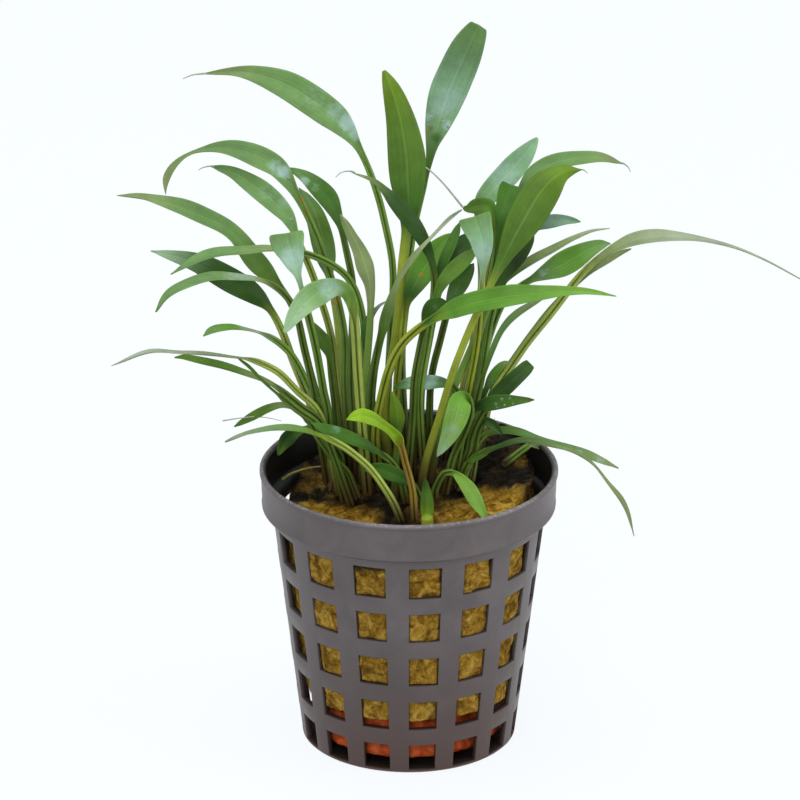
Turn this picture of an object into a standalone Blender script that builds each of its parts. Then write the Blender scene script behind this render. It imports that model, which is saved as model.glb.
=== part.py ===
"""A potted cryptocoryne: a clump of leaves growing in a plug of rock wool, in a slatted net pot."""

import math

import bmesh
import bpy
from mathutils import Matrix, Vector, kdtree, noise

MM = 0.001

# Driving dimensions of the pot, in millimetres. The origin is the centre of its underside.
POT_HEIGHT = 53.2
RIM_RADIUS = 27.5
COLLAR_FOOT_RADIUS = 27.1
COLLAR_DEPTH = 7.6
NECK_RADIUS = 25.3
BASE_RADIUS = 19.8
WALL = 1.0
LIP = 1.2
FLOOR = 1.6
TURN_STEPS = 45

# The net's windows: columns round the pot and rows down it.
COLUMNS = 15
FIRST_COLUMN = 7.1
WINDOW_HALF_ANGLE = 7.0
ROW_TOPS = (43.5, 33.9, 24.5, 15.2, 6.0)
ROW_FEET = (37.2, 28.0, 18.7, 9.3, 0.7)

# The filling: a disc of baked clay under a plug of rock wool. Each leaf's foot stands just above it.
GAP = 0.3
FOOT_LIFT = 1.0
CLAY_RADIUS = 18.0
CLAY_TOP = 10.7
WOOL_FOOT = 11.2
WOOL_FOOT_RADIUS = 19.2
WOOL_TOP_RADIUS = 23.2
WOOL_SHIFT = 0.4
WOOL_SINK = 4.6

# The leaves are placed by how they look from in front: millimetres across and up in the plane
# that faces the viewer through the rim's centre, and a depth behind (+) or before (-) it.
VIEW_RISE = math.radians(23.3)
VIEW_DISTANCE = 1200.0
STEM_STEPS = 20
BLADE_STEPS = 24
STEM_STRIDE = 5
BLADE_STRIDE = 4
STEM_WIDTH = 1.1
STOUT_STEMS = {"leaf_02": 1.5, "leaf_08": 1.25, "leaf_10": 1.25, "leaf_16": 1.55, "leaf_18": 1.3,
               "leaf_28": 1.2, "leaf_30": 1.35, "leaf_48": 2.1}
CLEAR = 1.55
EASE_ROUNDS = 45
CLUMP_DEPTH = 3.0
SPREAD = 0.9
SPREAD_RISE = 30.0

RIGHT = Vector((1.0, 0.0, 0.0))
TO_VIEWER = Vector((0.0, -math.cos(VIEW_RISE), math.sin(VIEW_RISE)))
PICTURE_UP = Vector((0.0, math.sin(VIEW_RISE), math.cos(VIEW_RISE)))

TONES = {
    "pale": (0.36, 0.50, 0.34),
    "fresh": (0.22, 0.40, 0.08),
    "lime": (0.42, 0.60, 0.06),
    "deep": (0.05, 0.15, 0.03),
    "olive": (0.17, 0.25, 0.05),
}

# Each leaf: name, tone, side seen, foot (x, y), stem points (across, rise),
# blade points (across, rise, width), depths at the blade's base, middle and tip,
# and the turn of its face towards the sky at base and tip, in degrees.
LEAVES = [
    ("leaf_01", "pale", "top", (-3.5, 8.5),
     [(-3.9, 12), (-3.4, 24), (-2.9, 36), (-4.4, 44.5), (-6.4, 52.6), (-8.0, 56.6)],
     [(-9.4, 59.4, 1.4), (-11.8, 62.5, 4.0), (-14.1, 64.5, 5.4), (-18.2, 67.5, 5.8),
      (-22.9, 70.3, 5.3), (-27.9, 72.1, 3.5), (-32.4, 72.7, 1.7), (-38.5, 72.2, 0.4)],
     (14, 19, 24), (5, 10)),
    ("leaf_02", "olive", "under", (-3.4, 2.6),
     [(-4.7, 12), (-3.0, 20), (-1.8, 29), (-1.2, 38)],
     [(-0.5, 43.5, 1.8), (0.0, 47.5, 4.2), (-0.2, 52, 6.4), (-0.35, 56, 7.0), (-0.85, 60, 6.4),
      (-1.6, 64, 5.3), (-2.9, 68.5, 3.8), (-4.0, 71.3, 2.2), (-4.7, 72.9, 0.9)],
     (6, 8, 10), (0, 0)),
    ("leaf_03", "pale", "top", (-0.5, 9.5),
     [(-1.3, 20), (-0.4, 31), (0.3, 40), (1.7, 48)],
     [(3.6, 54.5, 0.8), (4.1, 58.5, 2.0), (5.3, 63.0, 4.9), (6.9, 68.0, 6.8), (8.9, 72.8, 6.9),
      (10.7, 76.8, 6.3), (12.0, 79.4, 5.0), (12.9, 81.2, 3.8)],
     (14, 18, 16), (0, 5)),
    ("leaf_04", "pale", "top", (-10.4, 6.4),
     [(-11.7, 14), (-11.7, 23), (-13.2, 31), (-15.3, 37.5), (-18.2, 45.5)],
     [(-21.0, 50.4, 1.5), (-23.6, 54.4, 3.6), (-27.4, 56.8, 4.4), (-31.5, 58.2, 3.6),
      (-35.5, 58.6, 2.1), (-39.4, 58.0, 0.8), (-41.8, 56.8, 0.9), (-43.8, 54.6, 1.6),
      (-44.9, 52.2, 1.6), (-44.9, 49.9, 0.5)],
     (10, 14, 11), (5, 35)),
    ("leaf_05", "fresh", "top", (-11.4, 8.6),
     [(-13.4, 17), (-14.3, 24), (-16.2, 30.5), (-18.2, 36.5)],
     [(-21.0, 42.8, 1.0), (-22.1, 45.6, 2.6), (-24.2, 48.0, 3.7), (-27.0, 50.4, 4.0),
      (-29.8, 52.5, 3.4), (-32.7, 54.2, 2.2), (-36.6, 55.2, 0.4)],
     (7, 11, 14), (5, 15)),
    ("leaf_06", "deep", "top", (-9.4, 4.4),
     [(-10.5, 13), (-10.5, 23), (-10.3, 33), (-11.6, 40)],
     [(-12.5, 44.2, 1.1), (-13.6, 46.8, 2.6), (-14.9, 49.3, 3.8), (-17.0, 51.5, 3.5),
      (-19.4, 53.5, 2.3), (-22.6, 55.1, 0.5)],
     (9, 12, 13), (0, 20)),
    ("leaf_07", "olive", "under", (-9.8, 10.2),
     [(-12.4, 18), (-13.1, 26), (-14.1, 32.5)],
     [(-14.8, 35.6, 1.6), (-15.2, 38.0, 3.6), (-15.8, 41.0, 4.4), (-16.5, 44.0, 4.2),
      (-17.6, 47.0, 3.6), (-19.0, 49.4, 2.2), (-20.3, 51.2, 0.6)],
     (10, 14, 18), (10, 20)),
    ("leaf_08", "pale", "top", (-12.6, 1.4),
     [(-15.6, 13), (-17.2, 22), (-19.3, 30.5)],
     [(-19.9, 33.2, 0.9), (-20.5, 35.2, 1.4), (-21.05, 37.0, 3.2), (-21.6, 39.0, 4.8),
      (-22.3, 41.0, 6.1), (-22.65, 43.0, 6.7)],
     (-4, -1, 1), (0, 0)),
    ("leaf_09", "fresh", "top", (-12.4, 5.0),
     [(-15.9, 10), (-17.8, 16), (-19.3, 22), (-21.0, 29)],
     [(-24.0, 33.6, 1.5), (-27.0, 36.3, 3.9), (-29.4, 38.9, 4.1), (-31.6, 42.0, 3.4),
      (-34.5, 44.4, 3.6), (-39.8, 46.6, 4.2), (-44.2, 48.3, 3.4), (-49.0, 49.5, 1.7),
      (-53.8, 49.9, 0.4)],
     (6, 9, 5), (15, 55)),
    ("leaf_10", "deep", "top", (-13.8, 8.0),
     [(-18.6, 12.5), (-21.4, 19.5), (-23.4, 25)],
     [(-25.6, 29.4, 1.5), (-28.6, 31.6, 3.9), (-32.0, 33.7, 4.9), (-36.0, 35.9, 4.7),
      (-40.0, 37.7, 3.7), (-43.7, 38.8, 2.3), (-47.6, 39.6, 0.4)],
     (7, 10, 11), (10, 30)),
    ("leaf_11", "pale", "top", (-7.4, 6.6),
     [(-8.3, 16), (-8.3, 26), (-10.4, 33.6), (-14.4, 37.4), (-18.6, 39.5)],
     [(-22.6, 40.0, 0.9), (-27.0, 39.9, 2.4), (-31.5, 39.7, 3.3), (-36.0, 38.9, 3.6),
      (-40.0, 37.7, 2.9), (-44.0, 35.3, 0.4)],
     (5, 3, 1), (55, 60)),
    ("leaf_12", "pale", "top", (-14.0, 3.4),
     [(-17.4, 13.5), (-19.4, 22), (-21.0, 29.3), (-23.4, 32.9)],
     [(-26.5, 34.3, 0.9), (-31.0, 34.9, 2.3), (-36.0, 34.9, 3.3), (-41.0, 33.6, 3.4),
      (-44.4, 31.7, 2.9), (-46.7, 28.3, 0.5)],
     (0, -2, -4), (55, 60)),
    ("leaf_13", "fresh", "top", (-13.2, 1.2),
     [(-15.6, 8.8), (-18.2, 14), (-20.9, 19.4), (-24.0, 23.2)],
     [(-27.5, 24.7, 0.6), (-30.4, 25.3, 0.9), (-33.0, 25.6, 1.7), (-36.2, 25.1, 2.0),
      (-38.0, 23.9, 0.5)],
     (4, 4, 4), (45, 45)),
    ("leaf_14", "pale", "top", (-12.4, -1.2),
     [(-16.0, 8.8), (-20.4, 13.6), (-25.0, 18.1)],
     [(-30.0, 20.0, 0.7), (-36.0, 20.6, 1.5), (-42.0, 21.0, 1.8), (-48.0, 21.1, 1.9),
      (-55.0, 18.5, 0.4)],
     (1, 0, -2), (70, 70)),
    ("leaf_15", "fresh", "top", (-11.8, -3.9),
     [(-15.4, 6.8), (-19.8, 10.9)],
     [(-24.5, 14.8, 1.0), (-28.0, 16.4, 1.6), (-33.0, 18.0, 2.1), (-38.0, 19.3, 2.1),
      (-41.3, 20.0, 1.6), (-43.2, 20.0, 0.5)],
     (-3, -4, -6), (50, 50)),
    ("leaf_16", "pale", "top", (-7.5, -2.4),
     [(-8.7, 8), (-9.4, 17), (-9.8, 24), (-10.1, 28.0)],
     [(-10.3, 29.9, 2.2), (-11.3, 31.9, 2.6), (-13.2, 32.9, 3.0), (-15.2, 32.5, 4.0),
      (-17.2, 31.5, 4.8), (-19.2, 29.9, 4.3), (-21.4, 27.0, 2.6), (-22.9, 24.5, 0.8)],
     (-7, -12, -17), (10, 15)),
    ("leaf_17", "deep", "top", (0.8, 1.6),
     [(1.0, 12), (2.9, 22), (4.6, 31), (4.9, 35)],
     [(4.5, 38.0, 1.4), (3.2, 40.6, 2.2), (1.4, 43.6, 2.9), (-0.6, 46.4, 3.3),
      (-2.6, 48.9, 2.9), (-4.6, 50.9, 1.6), (-7.2, 52.9, 0.9), (-10.8, 54.3, 0.4)],
     (0, 1.5, 7), (0, 40)),
    ("leaf_18", "pale", "top", (-6.6, 1.2),
     [(-7.0, 10), (-6.4, 18)],
     [(-5.2, 23.8, 1.5), (-4.3, 27.0, 2.1), (-3.6, 29.6, 1.8), (-2.8, 32.2, 1.3),
      (-1.7, 34.8, 1.0), (-0.3, 36.9, 1.05), (1.2, 39.0, 1.05), (2.8, 40.9, 0.8),
      (5.0, 43.2, 0.7), (7.4, 45.5, 0.7), (9.8, 47.3, 0.5)],
     (-1, -2, 2), (0, 35)),
    ("leaf_19", "pale", "top", (8.8, 3.2),
     [(10.6, 12), (12.4, 22), (13.2, 31)],
     [(13.6, 35.4, 0.9), (13.7, 37.4, 1.8), (13.6, 39.6, 3.5), (13.3, 42.0, 4.6),
      (12.6, 44.2, 5.6), (12.0, 46.1, 6.5)],
     (-1, 0, 2), (0, 0)),
    ("leaf_20", "pale", "top", (7.5, 10.3),
     [(9.9, 14), (12.2, 25), (13.4, 34), (12.8, 41.5)],
     [(12.6, 46.0, 1.4), (13.6, 48.8, 3.2), (15.4, 50.8, 4.3), (17.5, 53.0, 4.6),
      (19.7, 55.5, 4.4), (21.5, 57.6, 3.4), (22.8, 59.3, 2.0), (23.7, 60.5, 0.8)],
     (12, 14, 16), (0, 0)),
    ("leaf_21", "pale", "top", (9.6, 9.4),
     [(11.6, 13), (13.7, 24), (15.4, 35), (18.2, 45)],
     [(20.5, 51.2, 1.3), (22.3, 53.5, 2.8), (25.2, 55.3, 3.3), (28.7, 56.4, 3.4),
      (32.2, 56.9, 3.0), (35.5, 56.8, 2.2), (39.6, 55.7, 0.4)],
     (8, 10, 13), (20, 40)),
    ("leaf_22", "olive", "under", (2.0, -5.6),
     [(3.1, 0.8), (5.6, 9), (8.0, 17), (11.2, 25.2), (13.6, 30.3)],
     [(16.0, 35.4, 1.5), (17.8, 38.9, 2.9), (19.5, 42.2, 5.0), (21.5, 45.8, 6.6),
      (23.6, 49.4, 6.9), (25.9, 52.3, 5.8), (28.5, 54.2, 3.1), (31.9, 54.6, 0.4)],
     (-3, -1, 2), (0, 10)),
    ("leaf_23", "fresh", "top", (8.6, 6.2),
     [(10.8, 15), (13.6, 26.5), (15.5, 36)],
     [(16.6, 43.0, 1.2), (16.9, 45.6, 2.2), (17.6, 48.0, 3.2), (18.3, 50.2, 4.0),
      (18.9, 51.9, 3.9)],
     (4, 4.5, 6), (0, 0)),
    ("leaf_24", "pale", "top", (10.4, 5.2),
     [(12.2, 14), (14.6, 26), (16.9, 36), (19.8, 41)],
     [(22.6, 43.7, 1.0), (24.8, 44.8, 2.5), (26.8, 45.2, 2.5), (29.2, 45.3, 1.6),
      (31.6, 45.0, 0.4)],
     (5, 4, 3), (0, 10)),
    ("leaf_25", "deep", "under", (3.9, -1.6),
     [(5.6, 6.5), (8.6, 15), (11.6, 22), (14.3, 28.5)],
     [(15.9, 33.4, 1.3), (17.2, 35.1, 2.2), (18.8, 37.0, 2.8), (20.5, 39.0, 2.7),
      (22.0, 40.9, 1.7), (23.1, 42.8, 0.4)],
     (1, 3, 4), (0, 0)),
    ("leaf_26", "olive", "top", (10.9, 2.6),
     [(12.1, 10), (13.9, 20), (15.2, 28)],
     [(16.9, 33.8, 1.2), (19.8, 36.0, 2.4), (23.2, 38.2, 2.8), (26.8, 40.1, 2.5),
      (30.2, 41.9, 1.7), (33.6, 43.4, 0.8), (37.0, 43.9, 0.3)],
     (3, 4, 5), (50, 60)),
    ("leaf_27", "fresh", "top", (11.2, 7.2),
     [(13.2, 17), (15.2, 25), (17.8, 31), (20.6, 33.6)],
     [(22.9, 34.6, 1.2), (25.3, 35.7, 3.1), (27.8, 36.9, 4.7), (30.3, 38.3, 4.8),
      (33.1, 39.8, 3.5), (35.5, 40.8, 2.0), (37.2, 41.0, 0.5)],
     (7, 8, 9), (10, 25)),
    ("leaf_28", "olive", "top", (11.9, 3.4),
     [(14.9, 12), (18.6, 18), (22.0, 23), (25.3, 27), (28.5, 31.2), (31.2, 35.0)],
     [(34.3, 38.2, 1.3), (38.0, 40.4, 2.4), (41.5, 41.8, 3.6), (45.5, 42.4, 3.8),
      (49.5, 42.3, 2.8), (54.0, 41.8, 1.6), (60.0, 40.4, 0.8), (66.0, 37.9, 0.4),
      (72.6, 34.3, 0.3)],
     (4, 4, 2), (40, 65)),
    ("leaf_29", "fresh", "top", (12.8, 5.2),
     [(15.2, 13.2), (18.9, 19.0), (22.4, 24), (27.0, 29.9)],
     [(30.6, 33.4, 1.0), (33.0, 35.6, 2.0), (36.0, 37.6, 2.2), (38.6, 39.1, 1.5),
      (40.9, 40.1, 0.4)],
     (8, 8, 7), (50, 50)),
    ("leaf_30", "lime", "top", (-5.0, -1.4),
     [(-6.2, 5), (-5.0, 13), (-3.0, 19.6), (0.0, 24.0), (3.2, 26.6)],
     [(5.6, 27.7, 1.7), (8.0, 28.9, 3.4), (11.5, 30.0, 4.0), (15.5, 30.8, 4.2),
      (19.5, 31.5, 4.0), (23.5, 31.8, 3.1), (28.0, 32.2, 2.1), (33.0, 32.2, 1.2),
      (38.3, 31.3, 0.3)],
     (-6, -9, -8), (10, 25)),
    ("leaf_31", "deep", "top", (-0.4, -1.0),
     [(0.6, 8), (1.0, 16), (2.3, 23)],
     [(2.9, 26.3, 1.2), (3.5, 28.4, 2.2), (4.7, 29.6, 3.0), (6.4, 29.2, 2.6), (8.2, 28.3, 0.6)],
     (-3, -4, -3), (0, 0)),
    ("leaf_32", "lime", "top", (-2.1, 6.2),
     [(-2.3, 14), (-1.4, 22), (-0.9, 27)],
     [(-0.5, 30.3, 1.3), (0.8, 33.0, 3.5), (2.4, 35.9, 4.8), (4.1, 38.4, 4.5), (5.7, 40.5, 3.3),
      (7.2, 42.1, 1.8), (8.4, 43.2, 0.4)],
     (4, 5, 8), (0, 0)),
    ("leaf_33", "deep", "top", (0.6, 6.6),
     [(1.6, 15), (3.2, 23), (4.6, 31)],
     [(5.2, 34.4, 1.2), (6.3, 37.3, 1.9), (7.5, 40.2, 2.1), (8.6, 43.0, 1.7), (9.3, 45.0, 0.4)],
     (3, 4, 6), (20, 20)),
    ("leaf_34", "deep", "top", (2.2, 8.8),
     [(2.3, 14), (3.9, 24), (5.4, 32)],
     [(6.6, 36.6, 1.3), (8.4, 39.0, 2.7), (10.2, 40.9, 3.3), (11.9, 42.2, 2.0),
      (13.2, 43.0, 0.5)],
     (5, 7, 9), (0, 10)),
    ("leaf_35", "olive", "top", (2.9, 1.2),
     [(2.0, 12), (3.2, 21), (4.4, 28.4)],
     [(5.2, 32.2, 1.5), (6.7, 34.5, 2.4), (8.7, 36.6, 2.9), (10.8, 38.5, 2.2),
      (12.6, 40.0, 0.5)],
     (-1, 0, 3), (0, 0)),
    ("leaf_36", "deep", "top", (3.8, 6.9),
     [(4.0, 15), (5.8, 23.3)],
     [(7.4, 29.6, 1.3), (8.5, 32.0, 2.9), (9.6, 34.1, 3.4), (10.9, 35.9, 2.4),
      (12.0, 37.4, 0.5)],
     (3, 4, 6), (0, 0)),
    ("leaf_37", "deep", "top", (8.9, -0.6),
     [(9.5, 7), (9.4, 13.4)],
     [(7.6, 15.1, 1.2), (5.6, 15.4, 2.3), (3.2, 15.4, 2.9), (0.6, 15.3, 2.6), (-1.4, 14.9, 1.6),
      (-2.9, 14.3, 0.5)],
     (-1.5, 0, 1), (15, 15)),
    ("leaf_38", "pale", "top", (6.6, -5.2),
     [(7.3, -2), (8.1, 1.6), (10.2, 6.1), (11.4, 9.8), (11.3, 12.6)],
     [(10.4, 13.6, 1.6), (9.6, 12.4, 3.9), (9.1, 10.2, 4.5), (8.3, 7.8, 4.1), (7.3, 5.4, 3.0),
      (6.2, 3.4, 1.7), (5.1, 1.6, 0.4)],
     (-8, -12, -13), (0, 0)),
    ("leaf_39", "fresh", "under", (-2.6, -4.0),
     [(-2.4, 0.5), (-2.0, 4.6)],
     [(-1.9, 6.4, 1.4), (-2.1, 8.3, 2.8), (-2.3, 10.2, 2.6), (-2.7, 12.1, 1.6),
      (-3.3, 13.9, 0.4)],
     (-5, -5, -5), (0, 0)),
    ("leaf_40", "lime", "top", (1.1, -14.4),
     [(0.95, -7.6), (0.7, -4.6), (0.0, -1.6), (-0.7, 0.8), (-1.2, 3.0)],
     [(-1.8, 4.9, 2.3), (-3.4, 6.5, 1.8), (-5.2, 7.8, 1.9), (-7.0, 8.8, 2.6), (-8.8, 9.3, 2.7),
      (-10.3, 9.0, 1.7), (-11.6, 8.5, 0.4)],
     (-11, -13, -14), (10, 20)),
    ("leaf_41", "deep", "top", (-0.4, -7.2),
     [(-1.8, -1.5), (-3.6, 1.1)],
     [(-5.2, 2.3, 1.1), (-7.2, 3.6, 2.0), (-9.7, 4.7, 2.7), (-12.2, 5.7, 3.0),
      (-14.7, 6.6, 2.7), (-16.6, 7.4, 1.6), (-18.2, 8.1, 0.4)],
     (-8, -9, -8), (35, 35)),
    ("leaf_42", "fresh", "top", (-1.3, -13.8),
     [(-2.6, -7.2), (-4.5, -4), (-7.0, -0.6), (-9.5, 1.7), (-12.5, 3.9)],
     [(-15.5, 5.4, 1.1), (-18.5, 6.5, 1.9), (-22.0, 6.95, 2.4), (-26.0, 6.95, 2.0),
      (-30.0, 6.1, 1.3), (-33.9, 4.4, 0.4)],
     (-13, -14, -15), (60, 60)),
    ("leaf_43", "fresh", "top", (2.2, -8.4),
     [(1.4, -4.6)],
     [(0.5, -3.2, 1.2), (-1.2, -2.2, 2.4), (-3.6, -1.2, 2.9), (-6.0, -0.5, 2.2),
      (-8.6, -0.7, 0.5)],
     (-10, -11, -12), (0, 0)),
    ("leaf_44", "fresh", "top", (-9.3, -3.2),
     [(-11.4, -1.2), (-14.2, 1.8), (-16.8, 5.7), (-18.6, 8.8)],
     [(-20.8, 10.7, 1.0), (-23.4, 11.2, 1.5), (-26.2, 10.5, 2.1), (-28.8, 9.2, 2.1),
      (-30.7, 8.1, 1.3), (-32.2, 7.2, 0.4)],
     (-1, 0, 0), (45, 35)),
    ("leaf_45", "deep", "top", (-13.4, 5.6),
     [(-14.9, 3.6), (-17.0, 6.2)],
     [(-19.2, 6.9, 1.1), (-21.0, 6.1, 2.3), (-22.4, 4.9, 2.8), (-23.4, 3.4, 1.7),
      (-24.1, 1.9, 0.5)],
     (6, 7, 7), (0, 0)),
    ("leaf_46", "lime", "top", (-11.6, -0.6),
     [(-13.4, 2.4), (-15.6, 5.6)],
     [(-17.3, 7.3, 1.0), (-18.4, 8.6, 1.8), (-19.4, 9.7, 1.2), (-20.4, 10.3, 0.4)],
     (1, 1.5, 2), (0, 0)),
    ("leaf_47", "fresh", "top", (4.7, -7.4),
     [(4.9, -4.2), (6.4, -1.5)],
     [(8.3, -1.1, 0.9), (9.7, -2.5, 2.0), (11.2, -4.4, 2.8), (12.4, -6.5, 2.6),
      (13.6, -8.5, 1.5), (14.6, -10.3, 0.5)],
     (-11, -15, -18), (0, 0)),
    ("leaf_48", "fresh", "under", (3.5, -17.4),
     [(3.4, -10.4)],
     [(3.35, -9.2, 2.2), (3.35, -7.0, 2.5), (3.2, -4.8, 1.8), (3.0, -2.2, 0.5)],
     (-17.4, -17.6, -17.8), (0, 0)),
    ("leaf_49", "olive", "top", (11.0, -2.4),
     [(12.4, 3.6)],
     [(14.2, 6.3, 1.1), (17.2, 6.7, 1.9), (20.5, 6.2, 2.0), (23.5, 5.3, 1.4), (26.5, 4.5, 0.9),
      (30.0, 3.3, 1.4), (33.2, 2.1, 2.2), (36.0, 0.9, 1.6), (38.7, -0.4, 0.4)],
     (3, 4, 4), (40, 45)),
    ("leaf_50", "olive", "top", (9.4, -5.0),
     [(11.4, 0.9)],
     [(14.5, 3.0, 1.1), (18.5, 4.5, 1.6), (22.5, 4.6, 1.6), (27.0, 3.8, 1.1), (31.0, 2.4, 0.8),
      (34.5, 0.0, 0.7), (37.2, -3.6, 1.0), (39.2, -6.3, 1.3), (40.7, -9.3, 1.1),
      (41.6, -13.0, 0.4)],
     (-1, 1.5, 0), (50, 50)),
    ("leaf_51", "deep", "top", (-12.4, 3.2),
     [(-13.5, 10), (-14.3, 17)],
     [(-14.6, 20.4, 1.2), (-15.5, 22.6, 2.6), (-17.1, 24.9, 2.0), (-18.9, 27.2, 0.5)],
     (4, 4.5, 5), (0, 0)),
    ("leaf_52", "pale", "under", (-8.7, 2.2),
     [(-8.4, 10), (-7.8, 18), (-7.2, 25.5)],
     [(-7.0, 29.6, 1.3), (-7.2, 33.4, 2.0), (-8.0, 36.6, 3.3), (-9.0, 39.4, 2.8),
      (-10.4, 42.1, 2.1), (-11.5, 44.4, 1.5), (-12.7, 46.4, 0.5)],
     (3, 5, 6), (0, 20)),
    ("leaf_53", "deep", "top", (-5.3, 5.6),
     [(-6.8, 12), (-7.9, 19)],
     [(-8.2, 23.4, 1.2), (-7.8, 25.9, 2.0), (-6.8, 28.0, 1.2), (-5.4, 29.6, 0.6),
      (-4.0, 30.4, 0.3)],
     (5, 5, 6), (20, 20)),
    ("leaf_54", "olive", "top", (6.3, 7.7),
     [(9.7, 13), (12.6, 25), (14.6, 35), (15.8, 42)],
     [(15.9, 46.4, 1.2), (14.5, 47.8, 2.9), (12.4, 47.8, 3.0), (10.7, 47.4, 1.4),
      (9.8, 47.8, 0.5)],
     (8, 8.5, 8), (0, 0)),
    ("leaf_55", "deep", "top", (9.7, -1.0),
     [(11.6, 6)],
     [(14.2, 11.2, 1.5), (16.0, 12.8, 2.8), (17.9, 14.6, 3.0), (19.8, 16.4, 2.9),
      (21.4, 17.9, 2.7), (22.4, 18.9, 2.2)],
     (-1, -1, 0), (0, 0)),
    ("leaf_56", "deep", "top", (8.2, -3.2),
     [(10.0, 6)],
     [(12.3, 10.9, 1.3), (14.7, 11.5, 2.7), (17.4, 11.9, 2.6), (20.2, 12.1, 1.6),
      (23.1, 12.2, 0.4)],
     (-4, -6, -7), (0, 10)),
    ("leaf_57", "fresh", "top", (9.9, 6.0),
     [(12.6, 10)],
     [(14.2, 14.2, 1.1), (15.3, 16.2, 1.8), (16.5, 17.9, 1.6), (17.6, 18.9, 1.1),
      (18.9, 19.1, 0.4)],
     (4, 5, 6), (20, 30)),
]


def wool_height(x, y):
    """The height of the rock wool's top: it slopes down to the front left, with lumps."""
    lumps = noise.noise(Vector((x * 0.16, y * 0.16, 3.0)))
    return POT_HEIGHT - WOOL_SINK + 0.13 * x + 0.10 * y + 1.0 * lumps


def seen(across, rise, depth):
    """The point that shows at (across, rise) from the viewing place and lies at the given depth."""
    tilt_sin, tilt_cos = math.sin(VIEW_RISE), math.cos(VIEW_RISE)
    reach = (depth + VIEW_DISTANCE * tilt_cos) / (rise * tilt_sin + VIEW_DISTANCE * tilt_cos)
    height = VIEW_DISTANCE * tilt_sin + reach * (rise * tilt_cos - VIEW_DISTANCE * tilt_sin)
    return Vector((across * reach, depth, POT_HEIGHT + height))


def between(a, b, share):
    return a + (b - a) * share


def spread(depth, rise):
    """Fan the clump out from its middle, the more the higher up."""
    share = max(0.0, min(1.0, rise / SPREAD_RISE))
    return CLUMP_DEPTH + (depth - CLUMP_DEPTH) * (1.0 + SPREAD * share)


def smooth_run(points, steps):
    """Points evenly along a Catmull-Rom curve through the given vectors of any size."""
    first = [2 * a - b for a, b in zip(points[0], points[1])]
    last = [2 * a - b for a, b in zip(points[-1], points[-2])]
    guide = [first] + [list(p) for p in points] + [last]
    fine = []
    for i in range(1, len(guide) - 2):
        p0, p1, p2, p3 = guide[i - 1:i + 3]
        for step in range(12):
            t = step / 12
            fine.append([0.5 * (2 * b + (c - a) * t + (2 * a - 5 * b + 4 * c - d) * t * t
                                + (3 * b - a - 3 * c + d) * t ** 3)
                         for a, b, c, d in zip(p0, p1, p2, p3)])
    fine.append(list(points[-1]))
    lengths = [0.0]
    for a, b in zip(fine, fine[1:]):
        lengths.append(lengths[-1] + math.dist(a[:3], b[:3]))
    run, at = [], 0
    for step in range(steps + 1):
        want = lengths[-1] * step / steps
        while at < len(fine) - 2 and lengths[at + 1] < want:
            at += 1
        share = (want - lengths[at]) / max(lengths[at + 1] - lengths[at], 1e-9)
        run.append([between(a, b, min(share, 1.0)) for a, b in zip(fine[at], fine[at + 1])])
    return run


def leaf_run(spec):
    """The leaf's midrib from foot to tip: places, widths, thicknesses and turns, in millimetres."""
    name, _, _, foot, stem, blade, depths, turns = spec
    stem_width = STOUT_STEMS.get(name, STEM_WIDTH)
    standing = Vector((foot[0], foot[1], wool_height(*foot) + FOOT_LIFT))
    flat = [Vector((standing.x, (standing.z - POT_HEIGHT) * math.cos(VIEW_RISE)
                    + standing.y * math.sin(VIEW_RISE)))]
    flat += [Vector(p) for p in stem] + [Vector(p[:2]) for p in blade]
    reach = [0.0]
    for a, b in zip(flat, flat[1:]):
        reach.append(reach[-1] + (b - a).length)
    base, tip = reach[len(stem) + 1], reach[-1]
    points = []
    for i, (place, far) in enumerate(zip(flat, reach)):
        if far <= base:
            depth = between(foot[1], depths[0], far / base)
        else:
            share = (far - base) / (tip - base)
            depth = (between(depths[0], depths[1], share * 2) if share < 0.5
                     else between(depths[1], depths[2], share * 2 - 1))
        width = stem_width if i <= len(stem) else blade[i - len(stem) - 1][2]
        depth = spread(depth, place.y)
        spot = standing if i == 0 else seen(place.x, place.y, depth)
        points.append([*spot, width])
    stem_run = smooth_run(points[:len(stem) + 2], STEM_STEPS)
    blade_run = smooth_run(points[len(stem) + 1:], BLADE_STEPS)
    blend = 3
    whole = stem_run[:-1] + blade_run
    for _ in range(blend):
        joint = range(STEM_STEPS - blend, STEM_STEPS + blend + 1)
        for i in joint:
            whole[i][:3] = [(a + 2 * b + c) / 4 for a, b, c in
                            zip(whole[i - 1][:3], whole[i][:3], whole[i + 1][:3])]
    run = []
    for i, (x, y, z, width) in enumerate(whole):
        share = max(0.0, (i - STEM_STEPS) / BLADE_STEPS)
        thick = between(min(width, 1.0), 0.45, min(1.0, share * 2.5)) if share else width * 0.9
        run.append({"at": Vector((x, y, z)), "width": max(width, 0.25), "thick": thick,
                    "turn": math.radians(between(turns[0], turns[1], share) if share else 0.0),
                    "share": share})
    return run


def frame_run(run, side):
    """Give each place along a leaf its direction, its edge direction and its upper side."""
    middle = len(run) - BLADE_STEPS // 2
    ahead = (run[middle + 1]["at"] - run[middle - 1]["at"]).normalized()
    sky = 1.0 if TO_VIEWER.cross(ahead).z >= 0.0 else -1.0
    carried = TO_VIEWER.copy()
    for i, spot in enumerate(run):
        before, after = run[max(i - 1, 0)], run[min(i + 1, len(run) - 1)]
        along = (after["at"] - before["at"]).normalized()
        facing = TO_VIEWER - along * TO_VIEWER.dot(along)
        carried = carried - along * carried.dot(along)
        pull = 4.0 if carried.dot(facing) >= 0.0 else -4.0
        carried = (carried + facing * pull).normalized()
        edge = carried.cross(along) * sky
        normal = carried * math.cos(spot["turn"]) + edge * math.sin(spot["turn"])
        spot["along"] = along
        spot["normal"] = normal.normalized()
        spot["edge"] = along.cross(spot["normal"]).normalized()
        spot["upper"] = spot["normal"] * (1.0 if side == "top" else -1.0)
    return run


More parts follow.
